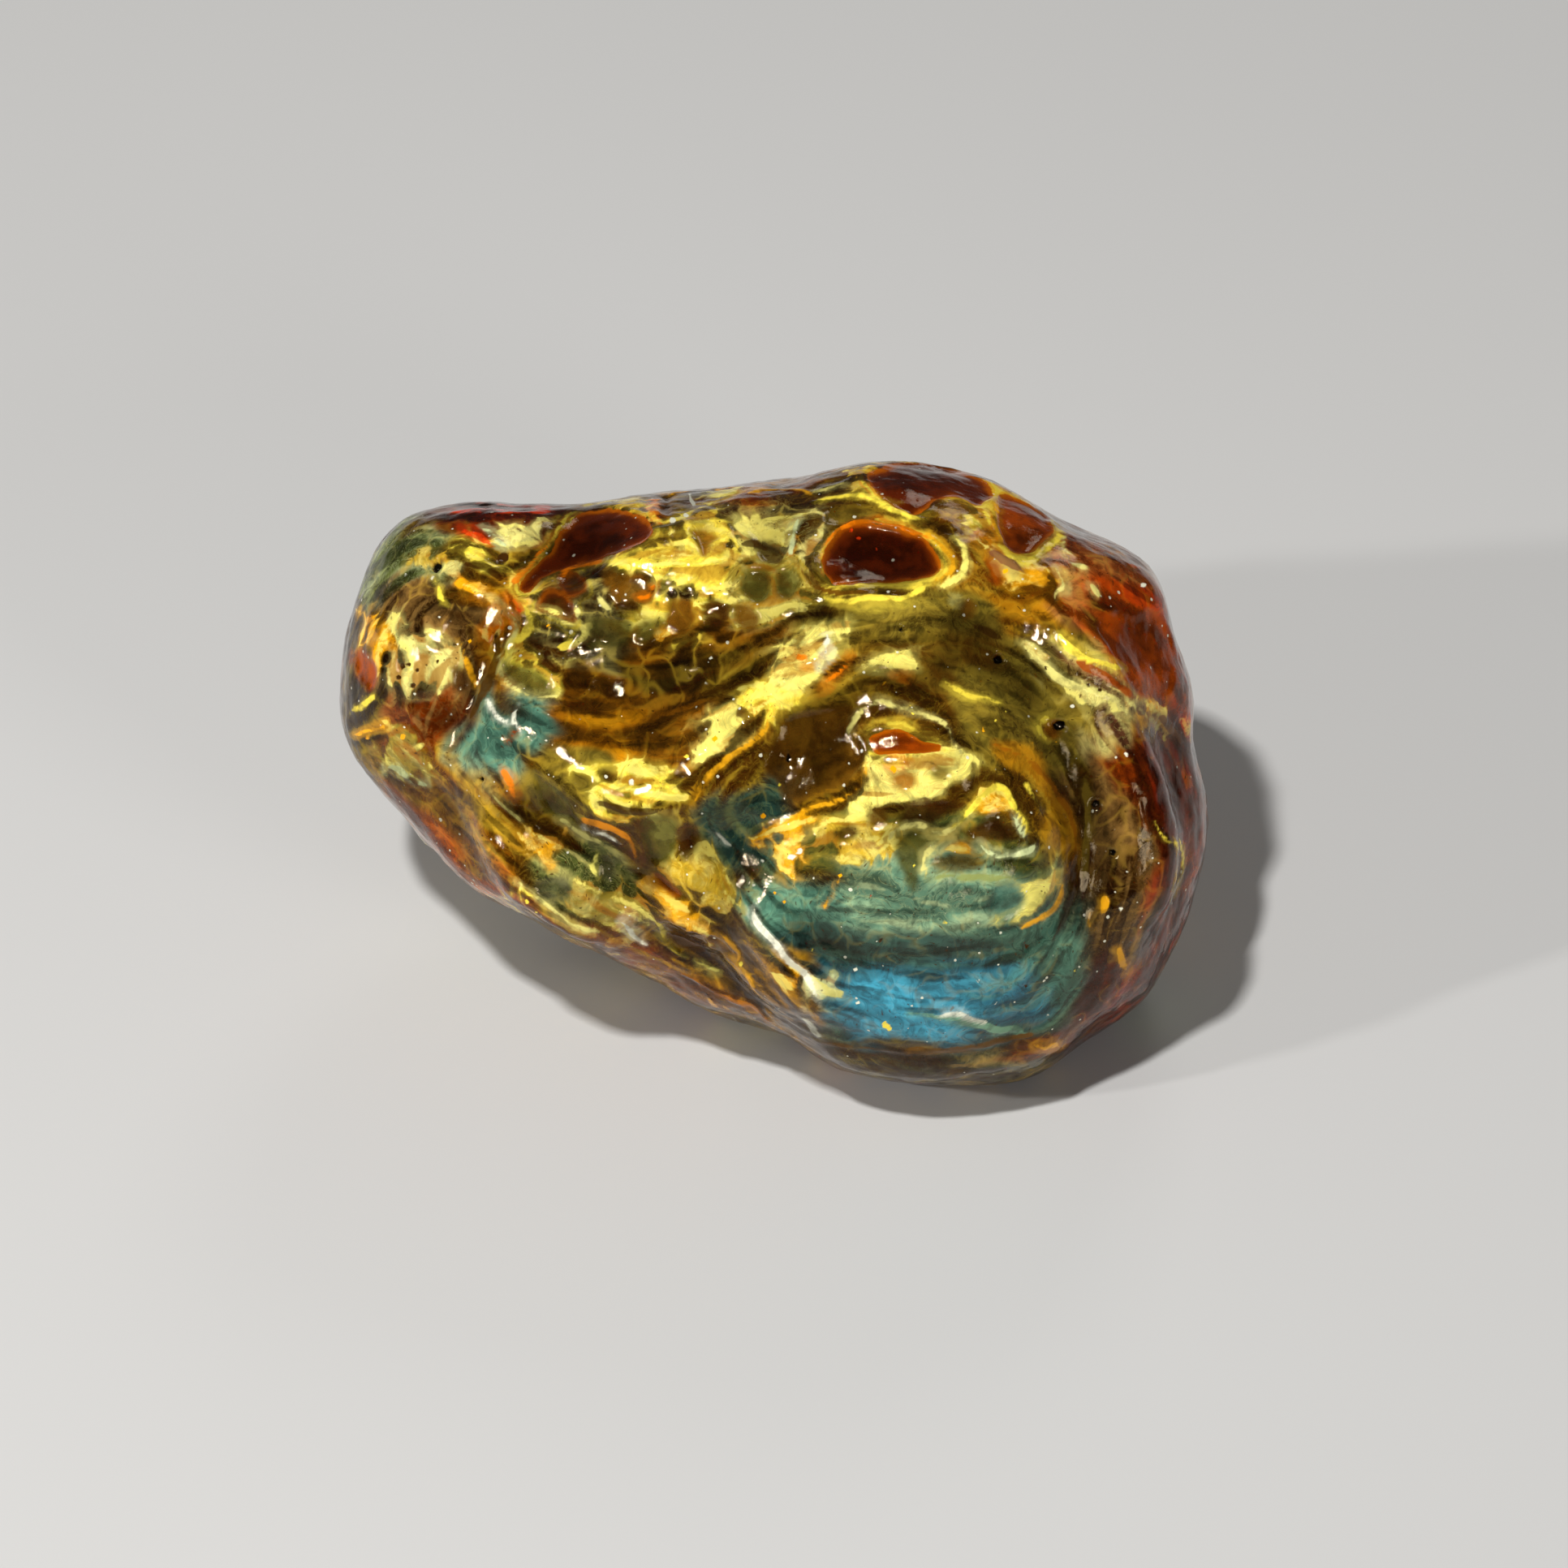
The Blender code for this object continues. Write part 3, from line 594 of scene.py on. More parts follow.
def smoothLine(words, closed):
    knots = readPlaces(words).cumsum(axis=0)
    if closed:
        before, after, last = np.roll(knots, 1, 0), np.roll(knots, -1, 0), np.roll(knots, -2, 0)
    else:
        before = np.vstack((2 * knots[:1] - knots[1:2], knots[:-2]))
        last = np.vstack((knots[2:], 2 * knots[-1:] - knots[-2:-1]))
        knots, after = knots[:-1], knots[1:]
    line = []
    for step in range(paint["spanSteps"]):
        t = step / paint["spanSteps"]
        line.append(
            0.5 * (2 * knots + (after - before) * t + (2 * before - 5 * knots + 4 * after - last) * t * t
                   + (3 * knots - before - 3 * after + last) * t * t * t)
        )
    line = np.stack(line, axis=1).reshape(-1, 2)
    return np.vstack((line, line[:1] if closed else after[-1:]))


def lineDistance(places, line):
    # how far each place is from the line, and how far along the line it is, from 0 to 1
    start, way = line[:-1], np.diff(line, axis=0)
    length = np.maximum((way * way).sum(axis=1), 1e-9)
    offset = places[:, None] - start
    along = np.clip((offset * way).sum(axis=2) / length, 0, 1)
    gap = np.linalg.norm(offset - along[..., None] * way, axis=2)
    nearest = gap.argmin(axis=1)
    rows = np.arange(len(places))
    return gap[rows, nearest], (nearest + along[rows, nearest]) / len(way)


def insideOutline(places, line):
    crossings = np.zeros(len(places), dtype=int)
    for (x0, y0), (x1, y1) in zip(line[:-1], line[1:]):
        if y0 != y1:
            spans = (places[:, 1] < y0) != (places[:, 1] < y1)
            at = x0 + (places[:, 1] - y0) * (x1 - x0) / (y1 - y0)
            crossings += spans & (places[:, 0] < at)
    return crossings % 2 == 1


def outlineDepth(places, line):
    # how far inside the outline each place is, below 0 where it's outside
    gap = lineDistance(places, line)[0]
    return np.where(insideOutline(places, line), gap, -gap)


def nearPlaces(places, line, margin):
    low, high = line.min(axis=0) - margin, line.max(axis=0) + margin
    return np.flatnonzero(((places > low) & (places < high)).all(axis=1))


def flowWays():
    # which way the streaks run at each cell of a coarse grid, as the doubled angle of the lines about it
    kinds = zip(paint["flowWeights"], (currents, veins, windows, clouds), (False, False, True, True))
    strokes = [(weight, row[-1], closed) for weight, rows, closed in kinds for row in rows]
    low, high = np.array(paint["corners"])
    size = ((high - low) / paint["flowCell"]).astype(int) + 1
    steps = np.meshgrid(*[np.arange(n) for n in size], indexing="ij")
    cells = low + np.stack(steps, axis=-1) * paint["flowCell"]
    total = np.zeros(cells.shape)
    for weight, words, closed in strokes:
        knots = readPlaces(words).cumsum(axis=0)
        if closed:
            knots = np.vstack((knots, knots[:1]))
        way = np.diff(knots, axis=0)
        gap = ((cells[:, :, None] - (knots[1:] + knots[:-1]) / 2) ** 2).sum(axis=3)
        share = weight * np.linalg.norm(way, axis=1) / (gap + paint["flowCore"] ** 2) ** 1.5
        twice = 2 * np.arctan2(way[:, 1], way[:, 0])
        total += share @ np.stack((np.cos(twice), np.sin(twice)), axis=1)
    return low, total / np.linalg.norm(total, axis=2)[..., None]


def wayAt(places, low, ways):
    at = ((places - low) / paint["flowCell"]).clip(0, np.array(ways.shape[:2]) - 1.001)
    base = at.astype(int)
    share = at - base
    total = 0
    for i, j in ((0, 0), (0, 1), (1, 0), (1, 1)):
        weight = np.abs(1 - i - share[:, 0]) * np.abs(1 - j - share[:, 1])
        total = total + weight[:, None] * ways[base[:, 0] + i, base[:, 1] + j]
    angle = np.arctan2(total[:, 1], total[:, 0]) / 2
    return np.stack((np.cos(angle), np.sin(angle)), axis=1)


def flatNoise(places, size, seed):
    return softNoise(np.column_stack((places, np.zeros(len(places)))), size, seed)


def drawnOut(places, flow, seed):
    # blots drawn out along the lines into streaks, one column for each size
    low, ways = flow
    columns = []
    for size, strides in paint["streaks"]:
        total = flatNoise(places, size, seed)
        for side in (1, -1):
            at, way = places.copy(), wayAt(places, low, ways) * side
            for stride in range(strides):
                at += way * paint["currentStride"]
                ahead = wayAt(at, low, ways)
                way = np.where((ahead * way).sum(axis=1)[:, None] < 0, -ahead, ahead)
                fade = 1 - stride / strides
                total += fade * flatNoise(at, size, seed)
        columns.append(total)
        seed += 7
    return np.stack(columns, axis=1)


def streakShares(points, turn, places, flow, seed):
    # the drawn out blots where the stone faces the front or back, plain blots round its sides
    drawn = drawnOut(places, flow, seed)
    grow = face["unit"] * paint["plainGrow"]
    sizes = [size * grow for size, strides in paint["streaks"]]
    plain = [softNoise(points, size, seed + 50 + i) for i, size in enumerate(sizes)]
    drawn = drawn / drawn.std(axis=0)
    plain = np.stack(plain, axis=1) / np.std(plain, axis=1)
    flat = ease(np.abs(turn), *paint["sideTurn"])[:, None]
    return (0.5 + paint["streakSpread"] * (plain + (drawn - plain) * flat)).clip(0, 1)


class Layer:
    # one coat of features over the stone: a tint, a field and a see-through share at each point
    def __init__(self, places, streaks=None):
        self.places = places
        self.fray = np.zeros(len(places))
        if streaks is not None:
            self.fray = (streaks @ np.array(paint["frayShares"]) - 0.5) * paint["fray"]
        self.colour = np.tile(linearTint("brown"), (len(places), 1))
        self.field = np.full(len(places), -paint["reach"])
        self.clear = np.zeros(len(places))
        self.flow = np.full(len(places), paint["flowReach"])
        self.foam = np.zeros(len(places))
        self.random = np.random.default_rng(paint["seed"])

    def add(self, chosen, field, tint, clear, soft):
        old = self.field[chosen]
        share = ease(field, -soft, soft)
        share = np.where((field > old) & (old < 0), 1.0, share)
        colour = linearTint(tint) * (1 + self.random.normal(0, paint["tintDrift"]))
        self.colour[chosen] += share[:, None] * (colour - self.colour[chosen])
        self.clear[chosen] += share * (clear - self.clear[chosen])
        self.field[chosen] = np.maximum(old, np.clip(field, -paint["reach"], paint["reach"]))

    def patch(self, tint, words, clear=0.0, soft=1.5):
        line = smoothLine(words, closed=True)
        chosen = nearPlaces(self.places, line, paint["flowReach"])
        field = outlineDepth(self.places[chosen], line)
        self.flow[chosen] = np.minimum(self.flow[chosen], np.abs(field))
        self.add(chosen, field, tint, clear, soft)

    def vein(self, tint, width, words):
        line = smoothLine(words, closed=False)
        chosen = nearPlaces(self.places, line, paint["flowReach"])
        gap, along = lineDistance(self.places[chosen], line)
        self.flow[chosen] = np.minimum(self.flow[chosen], gap)
        taper = 0.4 + 0.6 * np.sqrt(np.sin(math.pi * np.clip(along, 0, 1)).clip(0))
        self.add(chosen, width * taper - gap, tint, 0.0, 1.0)

    def speck(self, tint, depth, place, width):
        chosen = nearPlaces(self.places, np.array([place]), paint["reach"] + width)
        gap = np.linalg.norm(self.places[chosen] - place, axis=1)
        self.add(chosen, width - gap, tint, depth, 1.0)

    def spread(self, tint, amount, soft, words):
        line = smoothLine(words, closed=True)
        chosen = nearPlaces(self.places, line, soft + paint["fray"] / 4)
        field = outlineDepth(self.places[chosen], line)
        share = ease(field + self.fray[chosen], -soft, soft)
        self.colour[chosen] += share[:, None] * (linearTint(tint) - self.colour[chosen])
        self.clear[chosen] += share * (amount - self.clear[chosen])


def paintLayers(points, places, streaks):
    groundPlaces = places + wander(points, *paint["groundWander"], paint["seed"] + 30)
    cloudPlaces = places + wander(points, *paint["cloudWander"], paint["seed"] + 40)
    ground, wisp, foam = (Layer(groundPlaces, streaks) for _ in range(3))
    cloud = Layer(cloudPlaces)
    window, vein, speck = (Layer(places) for _ in range(3))
    for share, words in foams:
        foam.spread("cream", share, paint["foamEdge"], words)
    for tint, wispTint, wispShare, clear, soft, words in grounds:
        ground.spread(tint, clear, soft, words)
        wisp.spread(wispTint, wispShare, soft, words)
    for tint, words in clouds:
        cloud.patch(tint, words)
    for tint, clear, words in windows:
        window.patch(tint, words, clear)
    for tint, width, words in veins:
        vein.vein(tint, width, words)
    for tint, depth, words in specks:
        for across, down, width in readPlaces(words):
            speck.speck(tint, depth, (across, down), width)
    ground.flow = np.minimum.reduce((cloud.flow, window.flow, vein.flow))
    ground.foam = foam.clear
    return {"ground": ground, "wisp": wisp, "cloud": cloud, "window": window, "vein": vein, "speck": speck}


def hollows(piece, points, normals):
    # how far each point lies below its surroundings, in units of the depth set for them, which the resin uses
    # for painted shade in the sunken places and painted light on the crests
    edges = np.empty(len(piece.data.edges) * 2, dtype=np.int64)
    piece.data.edges.foreach_get("vertices", edges)
    first, second = edges.reshape(-1, 2).T
    ends = np.concatenate((first, second))
    count = np.bincount(ends, minlength=len(points))[:, None]
    level = points
    for _ in range(paint["hollowTurns"]):
        other = level[np.concatenate((second, first))]
        total = np.stack([np.bincount(ends, other[:, axis], len(points)) for axis in range(3)], axis=1)
        level = total / count
    return ((level - points) * normals).sum(axis=1) / paint["hollowDepth"]


def paintStone(piece):
    # the front's strokes serve the back too, turned half round
    points, normals = meshPoints(piece), meshNormals(piece)
    turn = turnToEye(points, normals)
    front = ease(turn, *paint["backTurn"])
    places = facePlaces(points, turn)
    flow = flowWays()
    sides = []
    for sidePlaces in (places, 2 * np.array(paint["backMiddle"]) - places):
        streaks = streakShares(points, turn, sidePlaces, flow, paint["seed"] + 60)
        sides.append((streaks, paintLayers(points, sidePlaces, streaks)))
        print("features laid out on one side")
    (frontStreaks, frontLayers), (backStreaks, backLayers) = sides

    def joined(frontValues, backValues):
        share = front[:, None] if frontValues.ndim > 1 else front
        return backValues + (frontValues - backValues) * share

    layers = {}
    for name, layer in frontLayers.items():
        parts = ("colour", "field", "clear", "flow", "foam")
        layers[name] = {part: joined(getattr(layer, part), getattr(backLayers[name], part)) for part in parts}
    # painted shade and light: how sunken each point is, stored with the guide values
    layers["ground"]["hollow"] = ease(hollows(piece, points, normals), -1, 1)
    layers["ground"]["streaks"] = joined(frontStreaks, backStreaks)
    return layers


def storeValues(piece, name, *columns):
    values = np.column_stack(columns).astype(np.float32)
    attribute = piece.data.attributes.new(name, "FLOAT_COLOR", "POINT")
    attribute.data.foreach_set("color", values.ravel())


def storeLayers(piece, layers):
    for name, layer in layers.items():
        field = (layer["field"] / (2 * paint["reach"]) + 0.5).clip(0, 1)
        last = layer["clear"] if name in ("ground", "wisp") else field
        storeValues(piece, name, layer["colour"].clip(0, 1), last)
    ground = layers["ground"]
    flow = ground["flow"] / paint["flowReach"]
    storeValues(piece, "guide", layers["window"]["clear"], flow, ground["foam"], ground["hollow"])
    storeValues(piece, "streaks", ground["streaks"], np.ones(len(flow)))
    print("features stored on the stone")


def weightGroup(piece, name, weights):
    group = piece.vertex_groups.new(name=name)
    count = stone["weightSteps"]
    steps = np.round(weights.clip(0, 1) * count).astype(int)
    for step in range(1, count + 1):
        group.add(np.flatnonzero(steps == step).tolist(), step / count, "REPLACE")


def roughen(piece, name, size, height):
    texture = bpy.data.textures.new(name, "CLOUDS")
    texture.noise_scale = size
    texture.noise_depth = 2
    applyModifier(piece, "DISPLACE", name, texture=texture, texture_coords="LOCAL", mid_level=0.5,
                  strength=2 * height, vertex_group="free")


def shapeStone(piece, layers):
    free = ease(meshPoints(piece)[:, 2], *stone["flatTop"])
    weightGroup(piece, "free", free)
    fields = {name: layer["field"] for name, layer in layers.items()}
    fields["spot"] = fields["speck"]
    shares = {name: ease(fields[name], *slope) for name, slope in stone["slopes"].items()}
    shares["spot"] *= layers["speck"]["clear"]
    shares["cloud"] *= 1 - ease(fields["window"], -3, 1)
    for name, share in shares.items():
        weightGroup(piece, name, share * free)
        depth = stone["depths"][name]
        applyModifier(piece, "DISPLACE", name, mid_level=0.0, strength=depth, vertex_group=name)
    roughen(piece, "swell", *stone["swell"])
    roughen(piece, "grain", *stone["grain"])
    piece.vertex_groups.clear()

    low, high = (np.array(corner) for corner in cadBox)
    points = meshPoints(piece).clip(low, high)
    piece.data.vertices.foreach_set("co", points.ravel())
    onlySelect(piece)
    bpy.ops.object.mode_set(mode="EDIT")
    bpy.ops.mesh.select_all(action="SELECT")
    bpy.ops.mesh.normals_make_consistent(inside=False)
    bpy.ops.object.mode_set(mode="OBJECT")
    bpy.ops.object.shade_smooth()
    print("stone shaped")


resin = {
    "mottle": (0.95, 4.0),  # scale to the millimetre and detail of each noise
    "grain": (3.2, 4.0),
    "fine": (11.0, 2.0),
    "threads": (0.5, 3.0),
    "swirl": (0.9, 4.0),
    "bend": (0.22, 2.0),
    "bendReach": 5.0,
    "cellScale": 0.5,
    "fleckScale": 0.9,
    "dotScale": 1.5,
    "refraction": 1.54,
    "absorbTint": (0.92, 0.56, 0.14, 1.0),
    "absorbDensity": 320.0,
    "clearRoughness": 0.03,
    "cloudedRoughness": 0.05,
    "gloss": 0.26,
    "glossTint": (1.0, 0.80, 0.50, 1.0),
    "clearTint": (1.0, 0.86, 0.6, 1.0),
    "clearGlossTint": (0.62, 0.45, 0.28, 1.0),
    "bump": 0.00004,
}


class Wire:
    # a socket of the material's tree that can stand in a sum
    def __init__(self, tree, socket):
        self.tree, self.socket = tree, socket

    def math(self, operation, first, second):
        return addNode(self.tree, "ShaderNodeMath", {"operation": operation}, {0: first, 1: second})

    def __add__(self, other):
        return self.math("ADD", self, other)

    def __sub__(self, other):
        return self.math("SUBTRACT", self, other)

    def __rsub__(self, other):
        return self.math("SUBTRACT", other, self)

    def __mul__(self, other):
        return self.math("MULTIPLY", self, other)

    def larger(self, other):
        return self.math("MAXIMUM", self, other)

    def size(self):
        return self.math("ABSOLUTE", self, 0.0)

    def wave(self):
        return self.math("SINE", self, 0.0) * 0.5 + 0.5

    __radd__ = __add__
    __rmul__ = __mul__


def addNode(tree, kind, settings=None, inputs=None, output=0):
    node = tree.nodes.new(kind)
    for key, value in (settings or {}).items():
        setattr(node, key, value)
    for key, value in (inputs or {}).items():
        if isinstance(value, Wire):
            tree.links.new(value.socket, node.inputs[key])
        else:
            node.inputs[key].default_value = value
    return None if output is None else Wire(tree, node.outputs[output])


def easeWire(value, low, high, start=0.0, end=1.0):
    inputs = {"Value": value, "From Min": low, "From Max": high, "To Min": start, "To Max": end}
    return addNode(value.tree, "ShaderNodeMapRange", {"interpolation_type": "SMOOTHSTEP"}, inputs)


def mixTints(share, first, second, blend="MIX"):
    settings = {"data_type": "RGBA", "blend_type": blend}
    return addNode(first.tree, "ShaderNodeMix", settings, {0: share, 6: first, 7: second}, 2)


def timesTint(first, second):
    return mixTints(1.0, first, second, "MULTIPLY")


def tintRgba(name):
    return (*linearTint(name), 1.0)


def makeResin():
    material = bpy.data.materials.new("amber_resin")
    material.use_nodes = True
    tree = material.node_tree
    tree.nodes.clear()

    def vectors(operation, inputs):
        return addNode(tree, "ShaderNodeVectorMath", {"operation": operation}, inputs)

    def noise(name, at, output="Fac", roughness=0.6, distortion=0.0):
        scale, detail = resin[name]
        inputs = {"Vector": at, "Scale": scale, "Detail": detail, "Roughness": roughness}
        return addNode(tree, "ShaderNodeTexNoise", None, {**inputs, "Distortion": distortion}, output)

    def voronoi(feature, at, scale):
        inputs = {"Vector": at, "Scale": resin[scale], "Randomness": 1.0}
        return addNode(tree, "ShaderNodeTexVoronoi", {"feature": feature}, inputs, "Distance")

    def attribute(name, output="Color"):
        return addNode(tree, "ShaderNodeAttribute", {"attribute_name": name}, None, output)

    def parts(name):
        whole = attribute(name)
        return [addNode(tree, "ShaderNodeSeparateColor", None, {0: whole}, part) for part in range(3)]

    def field(name):
        return (attribute(name, "Alpha") - 0.5) * (2 * paint["reach"])

    place = addNode(tree, "ShaderNodeTexCoord", output="Object")
    place = vectors("SCALE", {0: place, "Scale": 1000.0})  # millimetres
    mottle, grain, fine = noise("mottle", place), noise("grain", place), noise("fine", place)
    windowClear, flow, foam = parts("guide")
    foam = foam.larger(0.3)

    # streaks along the veins, from broad to thin, and threads that wander
    broadStreak, streak, thinStreak = parts("streaks")
    streaks = streak + (mottle - 0.5) * 0.45 + (grain - 0.5) * 0.12
    thinLines = thinStreak + (mottle - 0.5) * 0.3 + (grain - 0.5) * 0.2
    bend = vectors("SCALE", {0: noise("bend", place, "Color"), "Scale": resin["bendReach"]})
    bent = vectors("ADD", {0: place, 1: bend})
    threads = noise("threads", bent, roughness=0.5, distortion=0.3)
    walls = voronoi("DISTANCE_TO_EDGE", bent, "cellScale") + (grain - 0.5) * 0.05
    swirl = noise("swirl", bent, distortion=1.6)
    swirlLine = easeWire((swirl - 0.5).size(), 0.035, 0.0)
    flecks, dots = voronoi("F1", place, "fleckScale"), voronoi("F1", bent, "dotScale")
    bands = (flow * 40.0 + threads * 26.0).wave()

    # ground, with wisps of its second tint
    shade = easeWire(broadStreak * 0.5 + streaks * 0.6 + (threads - 0.5) * 0.4 - 0.05, 0.25, 0.8, 0.5, 1.35)
    ground = timesTint(attribute("ground"), shade)
    wisps = easeWire(streaks * 0.6 + broadStreak * 0.3 + threads * 0.3, 0.52, 0.86)
    wisps = wisps.larger(easeWire(thinLines, 0.56, 0.84) * 0.8)
    wisps = wisps.larger(bands * easeWire(streaks, 0.4, 0.7) * 0.3).larger(swirlLine * 0.35)
    ground = mixTints(wisps * attribute("wisp", "Alpha"), ground, attribute("wisp"))
    shade = easeWire(thinLines, 0.2, 0.46, 0.4, 1.0) * easeWire(swirl, 0.35, 0.6, 0.65, 1.15)
    ground = timesTint(ground, shade)
    ground = mixTints(foam * 0.9, ground, timesTint(ground, easeWire(walls, 0.03, 0.25, 1.0, 0.4)))
    wallWidth = easeWire(streaks, 0.35, 0.65, -0.05, 0.05)
    wallMask = easeWire(walls - wallWidth, 0.09, -0.05) * foam
    ground = mixTints(wallMask * 0.75, ground, mixTints(0.5, attribute("wisp"), tintRgba("mustard")))

    # clouds: cells and threads at their edges, darker in folds
    cells = (0.13 - walls) * 50.0 * easeWire(foam, 0.0, 0.5, 0.35, 1.0)
    cloudField = field("cloud") + cells + (streaks - 0.5) * 22.0 + (broadStreak - 0.5) * 6.0
    cloudField = cloudField + (threads - 0.5) * 14.0 + (thinLines - 0.5) * 14.0
    cloudMask = easeWire(cloudField, -2.0, 3.6)
    cloudHalo = easeWire(cloudField, -14.0, 1.0) * 0.32
    cream = easeWire(mottle * 0.5 + threads * 0.5, 0.46, 0.62) * 0.4
    cloud = mixTints(cream, attribute("cloud"), tintRgba("cream"))
    tone = easeWire(cloudField + (streaks - 0.5) * 16.0, -3.0, 12.0, 0.7, 1.0)
    tone = tone * easeWire(walls, 0.0, 0.34, 1.1, 0.72) * easeWire(swirl, 0.35, 0.6, 0.7, 1.08)
    cloud = timesTint(cloud, tone)
    folds = easeWire(thinLines, 0.46, 0.22) * 0.7
    folds = folds.larger(easeWire(streaks, 0.42, 0.22) * 0.75).larger(swirlLine * 0.35)
    cloud = mixTints(folds, cloud, mixTints(0.5, ground, tintRgba("honey")))
    crests = easeWire(thinLines * 0.5 + streaks * 0.3 + swirl * 0.3, 0.60, 0.72) * 0.6
    cloud = mixTints(crests, cloud, tintRgba("lemon"))
    halo = timesTint(attribute("cloud"), easeWire(streaks, 0.3, 0.7, 0.3, 0.8))
    colour = mixTints(cloudHalo, ground, halo)
    colour = mixTints(cloudMask * 0.96, colour, cloud)
    dotMask = easeWire(dots + (grain - 0.5) * 0.1, 0.15, 0.08, 0.0, 0.7)
    colour = mixTints(dotMask, colour, tintRgba("umber"))

    # windows: dark glass with a painted glow near its edge, the clearer ones with a few rings round them
    windowField = field("window") + (mottle - 0.5) * 6.0 + (grain - 0.5) * 1.5
    glassy = easeWire(windowClear, 0.5, 0.72)
    windowSoft = easeWire(windowClear, 0.5, 0.72, 6.0, 1.0)
    windowMask = easeWire(windowField, windowSoft * -1.0, windowSoft)
    rings = (windowField * 0.8 + threads * 12.0).wave()
    ringShare = easeWire(windowField, -18.0, -4.0) * easeWire(windowField, 0.5, -1.0) * glassy
    ringShare = ringShare * easeWire(streaks + threads, 0.85, 1.15, 0.1, 0.8)
    ringTint = mixTints(easeWire(rings, 0.1, 0.8, 0.3, 1.0), attribute("wisp"), tintRgba("yellow"))
    colour = mixTints(ringShare, colour, ringTint)
    depth = easeWire(mottle * 0.6 + threads * 0.7 + (streaks - 0.5) * 0.5, 0.45, 0.85, 0.55, 1.7)
    window = timesTint(attribute("window"), depth)
    # painted glow of light near the edge of the clearer windows, rust then orange
    glow = easeWire(windowField + (threads - 0.5) * 20.0, 14.0, 0.0, 0.0, 0.75) * glassy
    window = mixTints(glow, window, tintRgba("rust"))
    glow = easeWire(windowField + (threads - 0.5) * 10.0, 6.0, 0.0, 0.0, 0.7) * glassy
    window = mixTints(glow, window, tintRgba("orange"))
    colour = mixTints(windowMask * easeWire(windowClear, 0.3, 0.7, 0.75, 1.0), colour, window)
    # painted glints: white specks over the small fleck bumps
    glintMask = easeWire(flecks + (mottle - 0.42) * 0.5, 0.12, 0.07, 0.0, 0.9)
    colour = mixTints(glintMask, colour, tintRgba("white"))

    # veins and specks
    veinField = field("vein") + (threads - 0.5) * 7.0 + (thinLines - 0.5) * 8.0
    veinMask = easeWire(veinField, -1.6, 2.0)
    vein = timesTint(attribute("vein"), easeWire(threads + (mottle - 0.5), 0.35, 0.6, 0.6, 1.1))
    veinHalo = easeWire(veinField + (streaks - 0.5) * 16.0, -7.0, 1.0) * 0.28
    colour = mixTints(veinHalo.larger(veinMask * 0.9), colour, vein)
    speckMask = easeWire(field("speck") + (fine - 0.5) * 1.2, -0.8, 0.8)
    colour = mixTints(speckMask, colour, attribute("speck"))

    # painted shade where the surface lies below its surroundings, painted light on the crests
    colour = timesTint(colour, easeWire(attribute("guide", "Alpha"), 0.0, 1.0, 1.25, 0.5))

    # how see-through
    clear = attribute("ground", "Alpha") * easeWire(streaks + mottle * 0.5, 0.5, 0.95, 1.0, 0.3)
    clear = clear * (1 - cloudMask * 0.96)
    clear = clear + windowMask * (windowClear * 0.6 - clear)
    clear = clear * (1 - veinMask * 0.9) * (1 - speckMask * 0.9)

    height = mottle * 0.5 + grain * 0.35 + fine * 0.06 + easeWire(flecks, 0.10, 0.0) * 0.5
    inputs = {"Height": height, "Distance": resin["bump"], "Strength": 1.0}
    shared = {"IOR": resin["refraction"], "Normal": addNode(tree, "ShaderNodeBump", None, inputs)}
    clouded = addNode(tree, "ShaderNodeBsdfPrincipled", None, {
        "Base Color": colour, "Roughness": resin["cloudedRoughness"],
        "Specular IOR Level": resin["gloss"], "Specular Tint": resin["glossTint"], **shared,
    })
    glass = addNode(tree, "ShaderNodeBsdfPrincipled", None, {
        "Base Color": resin["clearTint"], "Roughness": resin["clearRoughness"],
        "Transmission Weight": 1.0, "Specular Tint": resin["clearGlossTint"], **shared,
    })
    surface = addNode(tree, "ShaderNodeMixShader", None, {0: clear, 1: clouded, 2: glass})
    inputs = {"Color": resin["absorbTint"], "Density": resin["absorbDensity"]}
    volume = addNode(tree, "ShaderNodeVolumeAbsorption", None, inputs)
    addNode(tree, "ShaderNodeOutputMaterial", None, {"Surface": surface, "Volume": volume}, None)
    print("resin made:", len(tree.nodes), "nodes")
    return material


studio = {
    "floorSize": 1.6,
    "floorTint": (0.66, 0.65, 0.63, 1.0),
    "world": 0.06,
    "lamps": {
        "key": {"at": (-0.14, -0.22, 0.56), "size": 0.034, "power": 2.8},
        "side": {"at": (-0.46, -0.23, 0.30), "size": 0.026, "power": 0.9},
        "fill": {"at": (0.40, -0.46, 0.26), "size": 0.16, "power": 0.7},
        "back": {"at": (0.12, 0.42, 0.34), "size": 0.16, "power": 0.25},
    },
    "lookAt": (0.0, 0.0, 0.018),
}


def addFloor():
    bpy.ops.object.select_all(action="DESELECT")
    bpy.ops.mesh.primitive_plane_add(size=studio["floorSize"])
    floor = bpy.context.active_object
    floor.name = "studio_floor"
    material = bpy.data.materials.new("studio_floor")
    material.use_nodes = True
    shader = material.node_tree.nodes["Principled BSDF"]
    shader.inputs["Base Color"].default_value = studio["floorTint"]
    shader.inputs["Roughness"].default_value = 0.8
    floor.data.materials.append(material)


def addLights():
    for name, lamp in studio["lamps"].items():
        bpy.ops.object.light_add(type="AREA", location=lamp["at"])
        light = bpy.context.active_object
        light.name = name + "_light"
        light.data.size = lamp["size"]
        light.data.energy = lamp["power"]
        way = Vector(studio["lookAt"]) - Vector(lamp["at"])
        light.rotation_euler = way.to_track_quat("-Z", "Y").to_euler()
    world = bpy.data.worlds.new("studio")
    world.use_nodes = True
    sky = world.node_tree.nodes["Background"]
    sky.inputs["Color"].default_value = (1.0, 1.0, 1.0, 1.0)
    sky.inputs["Strength"].default_value = studio["world"]
    bpy.context.scene.world = world
    bpy.context.scene.view_settings.view_transform = "Standard"
    print("floor and lights set")


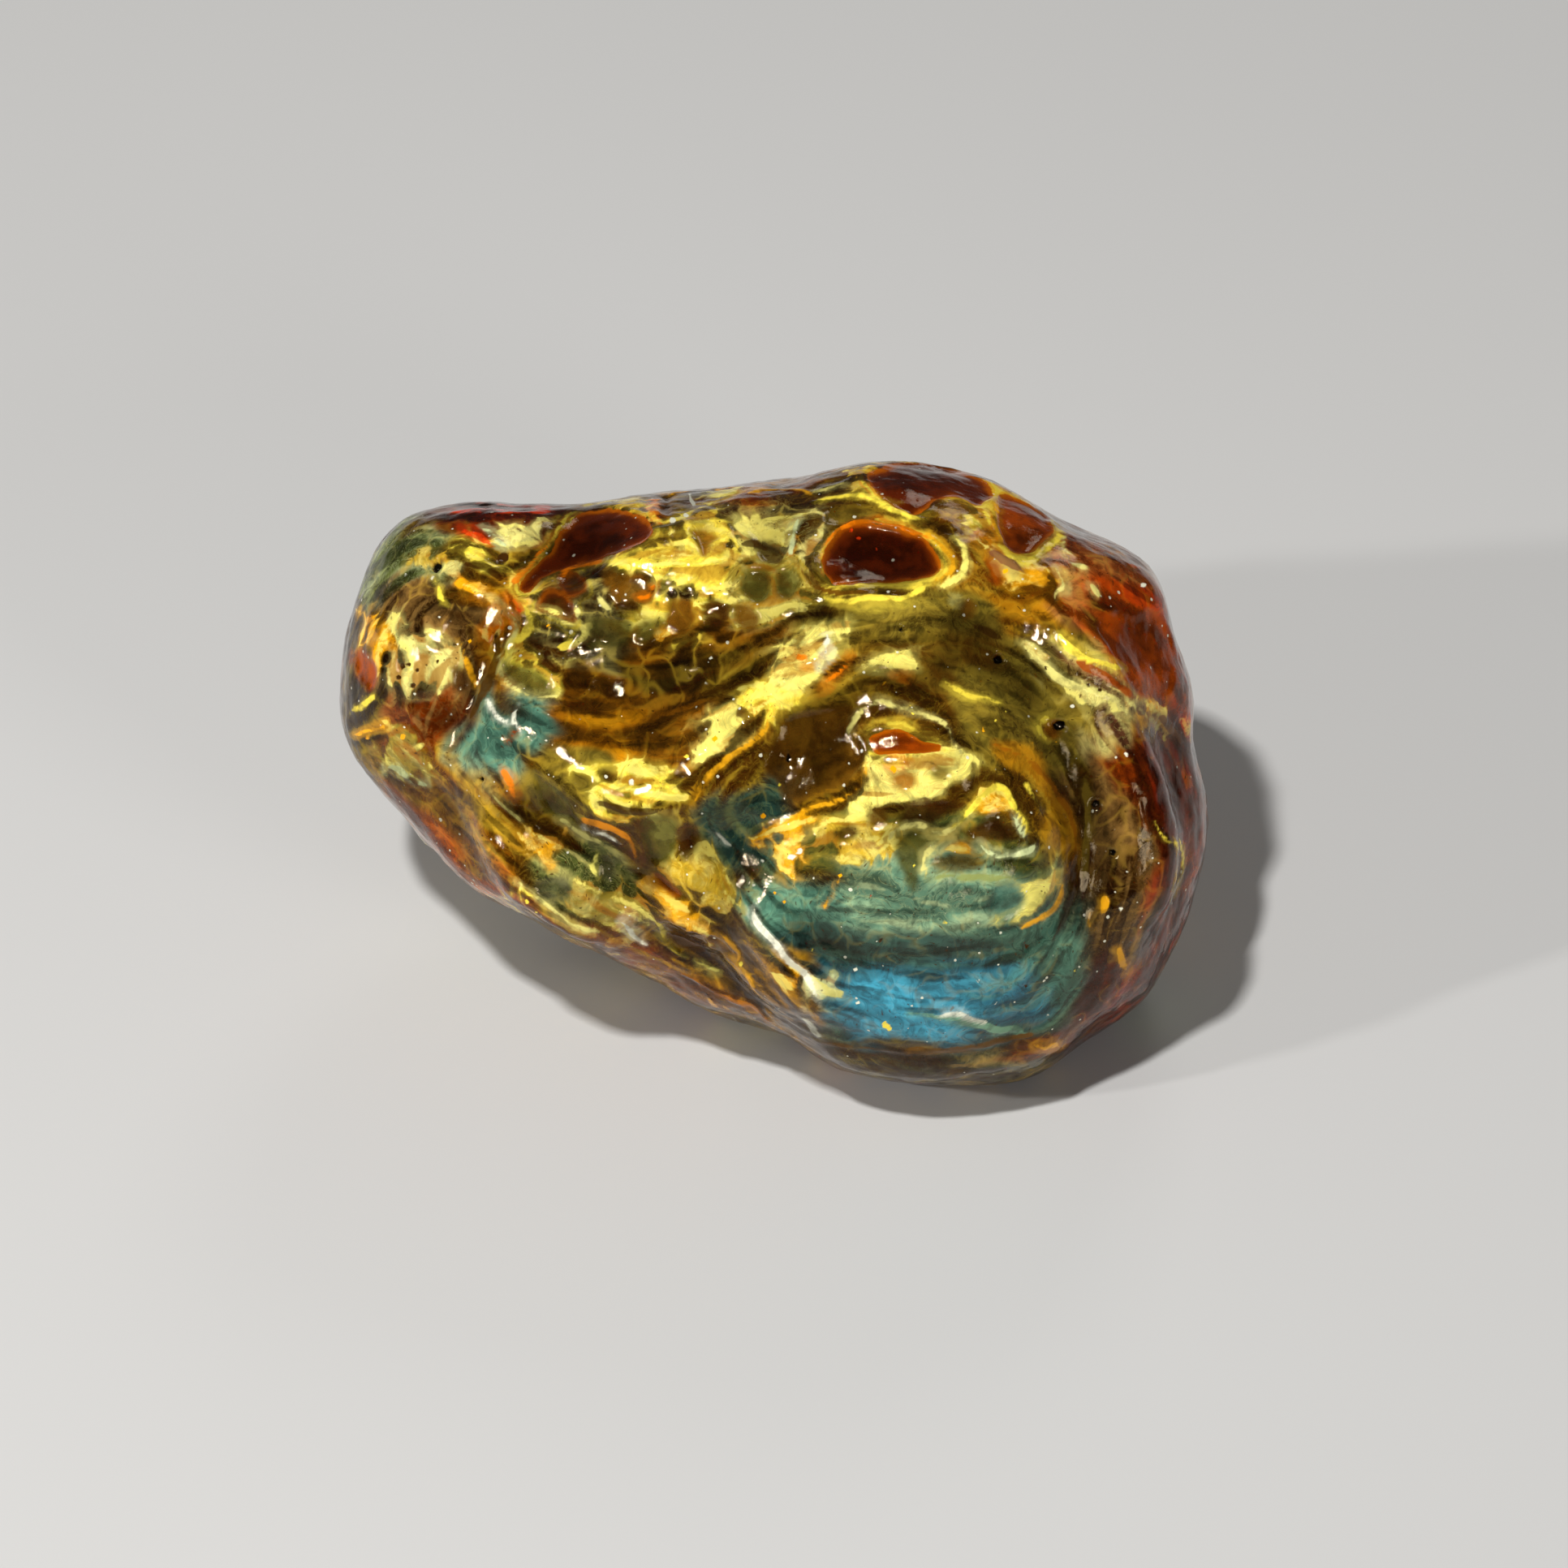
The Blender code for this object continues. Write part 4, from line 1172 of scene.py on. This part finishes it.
addCamera()
addFloor()
addLights()
amberStone = makeStone()
layers = paintStone(amberStone)
storeLayers(amberStone, layers)
shapeStone(amberStone, layers)
amberStone.data.materials.clear()
amberStone.data.materials.append(makeResin())
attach(amberStone, "root")
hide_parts("amber_piece")
